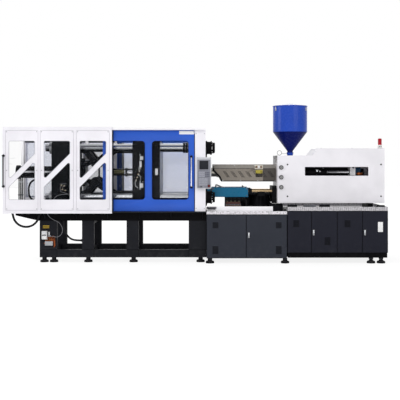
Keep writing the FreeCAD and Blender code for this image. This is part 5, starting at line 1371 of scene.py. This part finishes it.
def tray_blocks():
    """Manifold, guide plate, pipe bank and boxes between the seat cylinders and the trays."""
    boxes = Stock()
    for finish, round_by, x, y, z in (
            ("vent black", 0.003, (0.606, 0.935), (-0.160, 0.160), (1.161, 1.302)),
            ("pipe brown", 0.002, (0.620, 0.922), (-0.252, -0.244), (1.160, 1.203)),
            ("vent black", 0.004, (0.940, 1.120), (0.020, 0.200), (1.000, 1.300)),
            ("vent black", 0.003, (1.083, 1.560), (-0.225, 0.225), (1.345, 1.388)),
            ("vent black", 0.004, (1.084, 1.160), (-0.338, -0.222), (1.362, 1.478)),
            ("vent black", 0.004, (1.084, 1.160), (0.222, 0.338), (1.362, 1.478)),
            ("vent black", 0.006, (1.565, 1.790), (-0.430, -0.120), (0.998, 1.165)),
            ("vent black", 0.003, (1.105, 1.200), (0.238, 0.250), (1.000, 1.340)),
            ("vent black", 0.004, (1.525, 1.562), (-0.430, -0.270), (0.998, 1.195)),
            ("vent black", 0.006, (1.860, 2.050), (-0.740, -0.640), (1.056, 1.168)),
            ("dark steel", 0.004, (2.180, 2.430), (-0.720, -0.640), (1.056, 1.160)),
            ("vent black", 0.006, (2.505, 2.710), (-0.740, -0.640), (1.056, 1.172)),
            ("vent black", 0.006, (3.660, 3.806), (-0.800, -0.700), (1.060, 1.160))):
        boxes.slabs(finish, round_by, (x, y, z))
    boxes.piece("tray_boxes", "bed", "bar_steel")
    bank = []
    for step in range(7):
        y = -0.235 + 0.060 * step
        high = 1.285 - 0.035 * (step % 3)
        bank.append([(0.937, y, high), (0.985, y, high + 0.004), (1.030, y - 0.005, high - 0.030),
                     (1.052, y - 0.012, high - 0.090),
                     (1.045 - 0.018 * (step % 2), y - 0.016, 1.075), (1.020, y - 0.016, 1.005)])
    bead("pipe_bank", bank, 0.0165, "hose black", "bed", "rubber_black", sides=10)
    ports = [(0.640 + 0.040 * step, -0.2525, 1.132 - 0.012 * (step % 2)) for step in range(8)]
    bolts("copper_ports", ports, 0.011, "knob brown", "bed", "bar_steel")
    grille = [[(left + 0.026 * step, -0.790, z) for left, z in ((0.235, 1.112), (0.262, 1.066))]
              for step in range(6)]
    bead("tray_grille", grille, 0.0075, "vent black", "bed", "bar_steel")
    upstand = Stock()
    upstand.slab((0.420, -0.786, 1.000), (1.556, -0.780, 1.136), "rail white", 0.002)
    upstand.piece("tray_upstand", "bed", "tread_plate")


def valve_fittings():
    """Coils of the valves, their pipes in the tray, and the bolts of the swivel base."""
    home = ("bed", "bar_steel")
    coils = Stock()
    for step in range(4):
        x = FIRST_VALVE + VALVE_PITCH * step
        for _, side in SIDES:
            way = (0, side, 0)
            coils.stub((x, side * 0.225, 1.215), way, 0.062, 0.021, "black plastic", 20)
            coils.stub((x, side * 0.287, 1.215), way, 0.01364, 0.008, "bronze")
            coils.slabs("vent black", 0.003, ((x - 0.013, x + 0.013),
                                              sorted((side * 0.241, side * 0.271)), (1.236, 1.262)))
    for x in (1.16, 1.54):
        for y in (-0.19, 0.19):
            coils.stub((x, y, 0.995), UP, 0.023, 0.020, "zinc", 6)
    coils.piece("valve_coils", *home)
    runs = []
    for step in range(4):
        x = FIRST_VALVE + VALVE_PITCH * step
        far = x + 0.05 * step
        low = 1.040 + 0.022 * (step % 2)
        runs.append([(x, -0.255, 1.105), (x, -0.290, 1.085), (x + 0.02, -0.330, low + 0.01),
                     (x + 0.10, -0.380, low), (far + 0.30, -0.400 + 0.02 * step, low - 0.02),
                     (far + 0.42, -0.330, 1.020), (far + 0.47, -0.240, 1.012)])
    bead("tray_pipes", runs, 0.011, "dark steel", *home)
    bolts("swivel_bolts", circle(1.351, 0.224, 1.0865, 6, 30), 0.012, "zinc", *home, UP)


def seat_fittings():
    """Caps, ports and pipes of the teal seat cylinders."""
    home = ("bed", "bar_steel")
    offset, height = SEAT_AXIS
    ports = Stock()
    for _, side in SIDES:
        y = side * offset
        ports.turned((0.335, y, height), LEFT,
                     [(0.0, 0.038), (0.0, 0.066), (0.016, 0.066), (0.020, 0.060), (0.020, 0.038)],
                     "dark steel")
        for x in (0.420, 0.990):
            ports.stub((x, y, 1.501), UP, 0.017, 0.018, "zinc", 6)
            ports.stub((x, y, 1.518), UP, 0.012, 0.012, "zinc", 16)
    ports.piece("seat_ports", *home)
    path = [(0.420, 0.280, 1.528), (0.420, 0.276, 1.542), (0.440, 0.240, 1.546),
            (0.500, 0.205, 1.520), (0.640, 0.192, 1.470), (0.676, 0.166, 1.410),
            (0.685, 0.140, 1.360), (0.685, 0.140, 1.298)]
    runs = [[(x, side * y, z) for x, y, z in path] for _, side in SIDES]
    bead("seat_pipes", runs, 0.009, "steel", *home)
    heads = [(x, -0.3305, z) for x in (0.36, 1.054) for z in (1.335, 1.475)]
    bolts("seat_bolts", heads, 0.010, "dark steel", *home)


class MACHINE_OT_barrel_cover(bpy.types.Operator):
    """Finish the barrel cover: light upper strip, groove, catch with knobs and screws"""

    bl_idname = "machine.barrel_cover"
    bl_label = "Barrel cover"

    def execute(self, context):
        home = ("carriage", "cover_beige")

        def choose(point, normal, part):
            if point.y < -0.2165:
                return "knob brown"
            if point.y < -0.2005:
                return "catch cream"
            return "cover light" if point.z > 1.9775 else "cover beige"

        dressed("barrel_guard", "barrel_cover", choose, "cover_beige")
        for name, side in SIDES:
            groove = [(x, side * 0.2004, 1.893) for x in (0.350, 1.664)]
            bead(f"cover_groove_{name}", [groove], 0.0035, "black plastic", *home)
        slots = []
        for _, side in SIDES:
            for group in range(7):
                for row in range(4):
                    left, top = 0.591 + 0.155 * group + 0.022 * row, 1.833 - 0.032 * row
                    slots += [[(left + off, side * 0.2006, top),
                               (left + off + 0.018, side * 0.2006, top - 0.024)]
                              for off in (-0.024, 0.0, 0.024)]
        bead("cover_slots", slots, 0.0042, "vent black", *home, sides=6)
        strip = Stock()
        for y in (-0.2012, 0.2):
            depth = (y, y + 0.0012)
            strip.slabs("cover light", 0.0, ((0.352, 1.664), depth, (1.897, 1.974)))
            strip.slab((1.395, y + 0.0006, 1.640), (1.664, y + 0.0012, 1.888), "cover dark")
            strip.slabs("vent black", 0.0, ((0.545, 1.664), depth, (1.6235, 1.640)))
            bracket = [(0.348, 1.858), (0.358, 1.838), (0.478, 1.715), (0.526, 1.626),
                       (0.560, 1.626), (0.512, 1.730), (0.390, 1.860), (0.364, 1.960),
                       (0.348, 1.960)]
            strip.prism([(x, y, z) for x, z in bracket], (0.0, 0.0012, 0.0), "vent black")
        for finish, z in (("plate olive", (1.792, 1.862)), ("plate brown", (1.716, 1.791))):
            strip.slabs(finish, 0.0006, ((1.242, 1.388), (-0.2016, -0.2), z))
        strip.slab((1.288, -0.2180, 1.905), (1.328, -0.2165, 1.955), "bare plate")
        for x in (1.260, 1.356):
            strip.turned((x, -0.236, 1.925), FRONT, button(0.022, 0.004, 0.008, 0.017),
                         "knob brown", 20)
        strip.piece("cover_strip", *home)
        for name, side in SIDES:
            heads = [(x, side * 0.2012, 1.955) for x in (0.375, 0.80, 1.22, 1.645)]
            heads += [(x, side * 0.2005, 1.642) for x in (0.56, 0.93, 1.29, 1.645)]
            screws(f"cover_bolts_{name}", heads, 0.006, *home, (0, side, 0))
        return {"FINISHED"}


class MACHINE_OT_housing(bpy.types.Operator):
    """Finish the housing with gauges, screws, the mechanism behind the slot, and lamp details"""

    bl_idname = "machine.housing"
    bl_label = "Housing"

    def execute(self, context):
        home = ("carriage", "housing_white")

        def case(point, normal, part):
            return "black plastic" if point.y < HOUSING_PLANE - 0.0005 else "housing white"

        def drive(point, normal, part):
            if abs(abs(point.y) - 0.27) < 0.037 and point.x < 3.179:
                return "chrome"
            if point.x < 3.2905:
                return "rail white"
            return "motor blue" if point.x < 3.4405 else "vent black"

        dressed("housing_case", "injection_housing", case, "housing_white")
        dressed("screw_drive", "drive_beam", drive, "motor_grey")
        slot_parts()
        gauges()
        for name, side in SIDES:
            heads = [(x, side * 0.561, z) for x in (1.871, 3.776) for z in (1.330, 1.978)]
            screws(f"housing_screws_{name}", heads, 0.011, *home, (0, side, 0), "black plastic")
            rim = rounded(oblong((2.230, 3.513), (1.754, 1.925)), 0.012, side * 0.5605)
            bead(f"slot_rim_{name}", [rim], 0.004, "black plastic", *home, True)
            fold = [(x, side * 0.5602, 1.214) for x in (1.667, 3.849)]
            bead(f"housing_fold_{name}", [fold], 0.0018, "header grey", *home)
        heads = [(x, y, 2.3088) for x in (2.56, 3.19, 3.82) for y in (-0.53, 0.53)]
        screws("roof_screws", heads, context.scene.machine_sizes.screw, *home, UP)
        lamp_details()
        return {"FINISHED"}


def slot_parts():
    """Guard of the screw shank, pipes of the screw motor and cover strips of the cylinders."""
    guard = Stock()
    for y in ((-0.120, -0.060), (0.060, 0.120)):
        guard.slabs("vent black", 0.004, ((2.700, 3.172), y, (1.735, 1.925)))
    guard.slab((2.730, -0.122, 1.822), (3.140, -0.120, 1.846), "motor grey")
    guard.slab((3.225, -0.368, 1.900), (3.262, -0.365, 1.940), "vent black")
    guard.stub((3.350, -0.140, 1.782), RIGHT, 0.120, 0.030, "copper", 20)
    guard.stub((3.385, -0.140, 1.782), RIGHT, 0.025, 0.038, "copper", 6)
    guard.piece("shank_guard", "drive_beam", "motor_grey")
    strips = Stock()
    for _, side in SIDES:
        strips.slabs("vent black", 0.003,
                     ((2.200, 2.690), sorted((side * 0.135, side * 0.350)), (1.902, 1.930)))
        strips.stub((2.500, side * 0.352, 1.845), (0, side, 0), 0.020, 0.021, "zinc", 6)
        strips.stub((2.560, side * 0.352, 1.835), (0, side, 0), 0.014, 0.013, "zinc", 6)
    strips.piece("cylinder_strips", "carriage", "motor_grey")


GAUGE_X, GAUGE_FACE = 1.743, HOUSING_PLANE - 0.026


def on_dial(z, degrees, radius, off):
    """Point in front of the dial of the gauge at a height."""
    turn = math.radians(degrees)
    return (GAUGE_X + radius * math.cos(turn), GAUGE_FACE - off, z + radius * math.sin(turn))


def gauges():
    """Bezels, dials, ticks and needles of the three pressure gauges."""
    stock = Stock()
    for z, reading in ((1.919, 0.18), (1.719, 0.42), (1.516, 0.30)):
        stock.turned((GAUGE_X, GAUGE_FACE, z), FRONT,
                     [(-0.02, 0.0425), (0.004, 0.0435), (0.007, 0.041), (0.007, 0.032),
                      (0.001, 0.030), (0.001, 0.0)], "black plastic", 36)
        stock.turned((GAUGE_X, GAUGE_FACE - 0.0012, z), FRONT,
                     [(0.0, 0.0), (0.0, 0.0298), (0.0008, 0.0298), (0.0008, 0.0)],
                     "dial face", 36)
        for step in range(11):
            near = 0.022 if step % 5 else 0.018
            start, end = (on_dial(z, 225 - 27 * step, radius, 0.0022) for radius in (near, 0.028))
            stock.bar(start, end, 0.0012, "black plastic", 6)
        tail, tip = (on_dial(z, 225 - 270 * reading, radius, 0.0035) for radius in (-0.008, 0.025))
        stock.bar(tail, tip, 0.0028, "black plastic", 8, 0.0008)
        stock.stub((GAUGE_X, GAUGE_FACE - 0.001, z), FRONT, 0.004, 0.007, "black plastic")
    stock.piece("gauges", "carriage", "housing_white")


def lamp_details():
    """Dots on the warning lamp's socket, the ribs of its lens and the ring at its foot."""
    dots = Stock()
    for x in (3.790, 3.822):
        dots.turned((x, -0.3415, 2.352), FRONT, [(-0.01, 0.008), (0.0015, 0.008), (0.0015, 0.0)],
                    "black plastic", 16)
    for step in range(5):
        dots.turned((*LAMP_PLACE, 2.402 + 0.024 * step), UP,
                    [(0.0, 0.036), (0.0, 0.0392), (0.004, 0.0404), (0.008, 0.0392), (0.008, 0.036)],
                    "stop red", 32)
    dots.turned((*LAMP_PLACE, 2.306), UP,
                [(0.0, 0.056), (0.005, 0.056), (0.008, 0.050), (0.008, 0.041)],
                "black plastic", 32)
    dots.piece("lamp_details", "carriage", "lamp_red")


class MACHINE_OT_hopper(bpy.types.Operator):
    """Finish the hopper with its rolled rim, weld beads, clamps and neck flange"""

    bl_idname = "machine.hopper"
    bl_label = "Hopper"

    def execute(self, context):
        home = ("carriage", "hopper_blue")
        welds = [circle(HOPPER_X, 0.3582, 2.660), circle(HOPPER_X, 0.0595, 2.262)]
        bead("hopper_rim", [circle(HOPPER_X, 0.3585, 3.190)], 0.0055, "hopper enamel", *home, True)
        bead("hopper_welds", welds, 0.004, "hopper enamel", *home, True)
        fittings = Stock()
        fittings.turned((HOPPER_X, 0.0, 2.216), UP,
                        [(0.0, 0.058), (0.0, 0.072), (0.003, 0.074), (0.010, 0.074),
                         (0.013, 0.072), (0.013, 0.058)], "hopper enamel", 40)
        for degrees in (210, 330, 90):
            turn = math.radians(degrees)
            x, y = HOPPER_X + 0.363 * math.cos(turn), 0.363 * math.sin(turn)
            fittings.slab((x - 0.006, y - 0.018, 3.095), (x + 0.006, y + 0.018, 3.165), "zinc",
                          0.002, Matrix.Rotation(turn, 3, "Z"))
            fittings.stub((x, y, 3.160), UP, 0.036, 0.004, "zinc", 10)
        fittings.piece("hopper_fittings", *home)
        lid = Stock()
        lid.turned((HOPPER_X, 0.0, 3.196), UP,
                   [(0.0, 0.358), (-0.001, 0.3625), (0.004, 0.3645), (0.009, 0.3625),
                    (0.011, 0.345)], "hopper enamel", 72)
        for off in (-0.05, 0.05):
            lid.stub((HOPPER_X + off, 0.0, 3.2445), UP, 0.006, 0.006, "zinc")
        lid.piece("lid_rim", "hopper_lid", "hopper_blue")
        return {"FINISHED"}


class MACHINE_OT_lubricator(bpy.types.Operator):
    """Finish the grease unit: tank, buttons, level window, divider, fittings and pipes"""

    bl_idname = "machine.lubricator"
    bl_label = "Lubricator"

    def execute(self, context):
        def choose(point, normal, part):
            if point.x < -2.88 and point.z < 0.46 and point.y > -0.70:
                return "copper" if point.z > 0.4245 else "zinc"
            on_tank = point.x < -2.999 and point.z <= 0.6365
            return "white plastic" if on_tank else "black plastic"

        dressed("grease_unit", "lubricator", choose, "lubricator_white")
        details = Stock()
        for x in (-3.072, -3.032):
            details.turned((x, -0.760, 0.556), FRONT, button(0.016, 0.004, 0.006, 0.013),
                           "black plastic", 20)
        details.slab((-3.092, -0.7625, 0.590), (-3.010, -0.760, 0.622), "panel frame", 0.001)
        details.slab((-3.104, -0.700, 0.462), (-2.996, -0.660, 0.474), "zinc", 0.002)
        details.slab((-3.095, -0.664, 0.690), (-2.966, -0.660, 0.742), "yellow plate", 0.001)
        details.slab((-3.095, -0.6655, 0.704), (-2.966, -0.664, 0.724), "black plastic")
        details.stub((-2.965, -0.680, 0.560), UP, 0.055, 0.014, "white plastic", 16)
        details.stub((-2.965, -0.680, 0.538), UP, 0.022, 0.018, "zinc", 6)
        details.slab((-2.990, -0.700, 0.520), (-2.935, -0.660, 0.540), "white plastic", 0.003)
        pipes = []
        for step in range(4):
            x, far, top = -3.029 + 0.040 * step, -2.872 + 0.008 * step, 0.486 + 0.012 * step
            details.stub((x, -0.677, 0.452), UP, 0.010, 0.0065, "brass", 6)
            pipes.append([(x, -0.677, 0.460), (x, -0.680, top), (x + 0.012, -0.690, top + 0.014),
                          (x + 0.050, -0.694, top + 0.010),
                          (x + 0.090 - 0.01 * step, -0.690, top - 0.02),
                          (far, -0.676, 0.44), (far + 0.006, -0.668, 0.30 + 0.012 * step)])
        details.stub((-3.049, -0.677, 0.385), LEFT, 0.017, 0.008, "copper")
        details.piece("grease_details", "bed", "lubricator_white")
        bead("grease_pipes", pipes, 0.0042, "copper", "bed", "bar_steel")
        return {"FINISHED"}


# ------------------------------------------------------------------ stage
def aimed_light(name, place, target, size, power):
    """Soft rectangular lamp that looks at a target."""
    lamp = bpy.data.lights.new(name, "AREA")
    lamp.shape = "RECTANGLE"
    lamp.size, lamp.size_y = size
    lamp.energy = power
    holder = bpy.data.objects.new(name, lamp)
    holder.location = place
    holder.rotation_euler = (Vector(target) - Vector(place)).to_track_quat("-Z", "Y").to_euler()
    bpy.context.scene.collection.objects.link(holder)


class MACHINE_OT_stage(bpy.types.Operator):
    """Make the floor, the white surroundings, the lamps and the front camera"""

    bl_idname = "machine.stage"
    bl_label = "Stage"

    def execute(self, context):
        scene = context.scene
        scene.view_settings.view_transform = "Standard"
        lay_floor()
        surround(scene)
        for row in (("key_lamp", (-5.0, -9.0, 8.5), (0.0, 0.0, 1.2), (7.0, 4.0), 320.0),
                    ("fill_lamp", (7.0, -8.0, 5.0), (1.0, 0.0, 1.2), (5.0, 4.0), 170.0),
                    ("low_lamp", (1.4, -11.0, 1.1), (1.0, 0.0, 1.1), (8.0, 1.6), 152.0),
                    ("side_lamp", (-9.5, -2.0, 4.5), (0.0, 0.0, 1.5), (4.0, 4.0), 200.0),
                    ("back_lamp", (1.0, 8.5, 7.5), (0.0, 0.0, 1.5), (8.0, 3.0), 280.0)):
            aimed_light(*row)
        camera = bpy.data.cameras.new("front_camera")
        camera.lens = scene.machine_sizes.lens
        camera.sensor_width = 36.0
        camera.shift_x = -0.0125
        camera.shift_y = -0.1
        camera.clip_end = 200.0
        holder = bpy.data.objects.new("front_camera", camera)
        holder.location = (0.19, -17.88, 2.07)
        holder.rotation_euler = (math.radians(90.0), 0.0, 0.0)
        scene.collection.objects.link(holder)
        scene.camera = holder
        return {"FINISHED"}


def lay_floor(half=45.0):
    """Pale floor that keeps the machine's shadow and is white to the camera elsewhere."""
    mesh = bpy.data.meshes.new("studio_floor")
    corners = oblong((-half, half), (-half, half))
    mesh.from_pydata([(x, y, 0.0) for x, y in corners], [], [(0, 1, 2, 3)])
    floor = bpy.data.objects.new("studio_floor", mesh)
    bpy.context.scene.collection.objects.link(floor)
    recipe = Recipe("studio floor", Roughness=0.9)
    smudge = recipe.spread(recipe.noise(0.9, 3.0), 0.3, 0.7)
    recipe.feed(Base_Color=recipe.mix(smudge, (0.80, 0.80, 0.80), (0.84, 0.84, 0.84)))
    x, y = recipe.along("X"), recipe.along("Y")
    far = recipe.spread(x * x + y * y, 12.0, 120.0)
    seen = recipe.node("ShaderNodeLightPath", output="Is Camera Ray")
    glow = recipe.node("ShaderNodeEmission", inputs={
        "Color": recipe.mix(far, (0.92, 0.92, 0.92), (1.0, 1.0, 1.0)), "Strength": 1.28})
    mixed = recipe.node("ShaderNodeMixShader", inputs={
        0: seen * 0.72, 1: Value(recipe, recipe.shader.outputs[0]), 2: glow})
    output = next(node for node in recipe.tree.nodes if node.type == "OUTPUT_MATERIAL")
    recipe.link(mixed, output.inputs["Surface"])
    mesh.materials.append(recipe.material)


def surround(scene):
    """Even grey light, and white to the camera, in reflections and through clear sheets."""
    scene.world = bpy.data.worlds.new("studio")
    scene.world.use_nodes = True
    graph = Graph(scene.world.node_tree)
    graph.tree.nodes.clear()
    rays = graph.tree.nodes.new("ShaderNodeLightPath")
    seen = Value(graph, rays.outputs["Is Camera Ray"])
    for label in ("Is Glossy Ray", "Is Transmission Ray"):
        seen = seen.maths("MAXIMUM", seen, Value(graph, rays.outputs[label]))
    even, white = (graph.node("ShaderNodeBackground",
                              inputs={"Color": (1.0, 1.0, 1.0, 1.0), "Strength": strength})
                   for strength in (0.52, 1.0))
    mixed = graph.node("ShaderNodeMixShader", inputs={0: seen, 1: even, 2: white})
    graph.link(mixed, graph.tree.nodes.new("ShaderNodeOutputWorld").inputs["Surface"])


# ------------------------------------------------------------------ panel and run
OPERATORS = (MACHINE_OT_finishes, MACHINE_OT_stage, MACHINE_OT_hoses, MACHINE_OT_toggle_guard,
             MACHINE_OT_blue_doors, MACHINE_OT_rear_guard, MACHINE_OT_clamp,
             MACHINE_OT_control_panel, MACHINE_OT_cabinets, MACHINE_OT_injection_bed,
             MACHINE_OT_barrel_cover, MACHINE_OT_housing, MACHINE_OT_hopper,
             MACHINE_OT_lubricator)


class MACHINE_PT_pieces(bpy.types.Panel):
    """Operators, sizes and colours of the machine"""

    bl_idname = "MACHINE_PT_pieces"
    bl_label = "Moulding machine"
    bl_space_type = "VIEW_3D"
    bl_region_type = "UI"
    bl_category = "Moulding machine"

    def draw(self, context):
        column = self.layout.column(align=True)
        for operator in OPERATORS:
            column.operator(operator.bl_idname)
        for group in (context.scene.machine_sizes, context.scene.machine_colours):
            box = self.layout.box()
            for name in group.bl_rna.properties.keys():
                if name not in ("rna_type", "name"):
                    box.prop(group, name)


CLASSES = (MachineColours, MachineSizes) + OPERATORS + (MACHINE_PT_pieces,)


def register():
    for cls in CLASSES:
        bpy.utils.register_class(cls)
    bpy.types.Scene.machine_colours = PointerProperty(type=MachineColours)
    bpy.types.Scene.machine_sizes = PointerProperty(type=MachineSizes)


def unregister():
    del bpy.types.Scene.machine_sizes
    del bpy.types.Scene.machine_colours
    for cls in reversed(CLASSES):
        bpy.utils.unregister_class(cls)


def main():
    register()
    for operator in OPERATORS:
        group, name = operator.bl_idname.split(".")
        getattr(getattr(bpy.ops, group), name)()


if __name__ == "__main__":
    main()
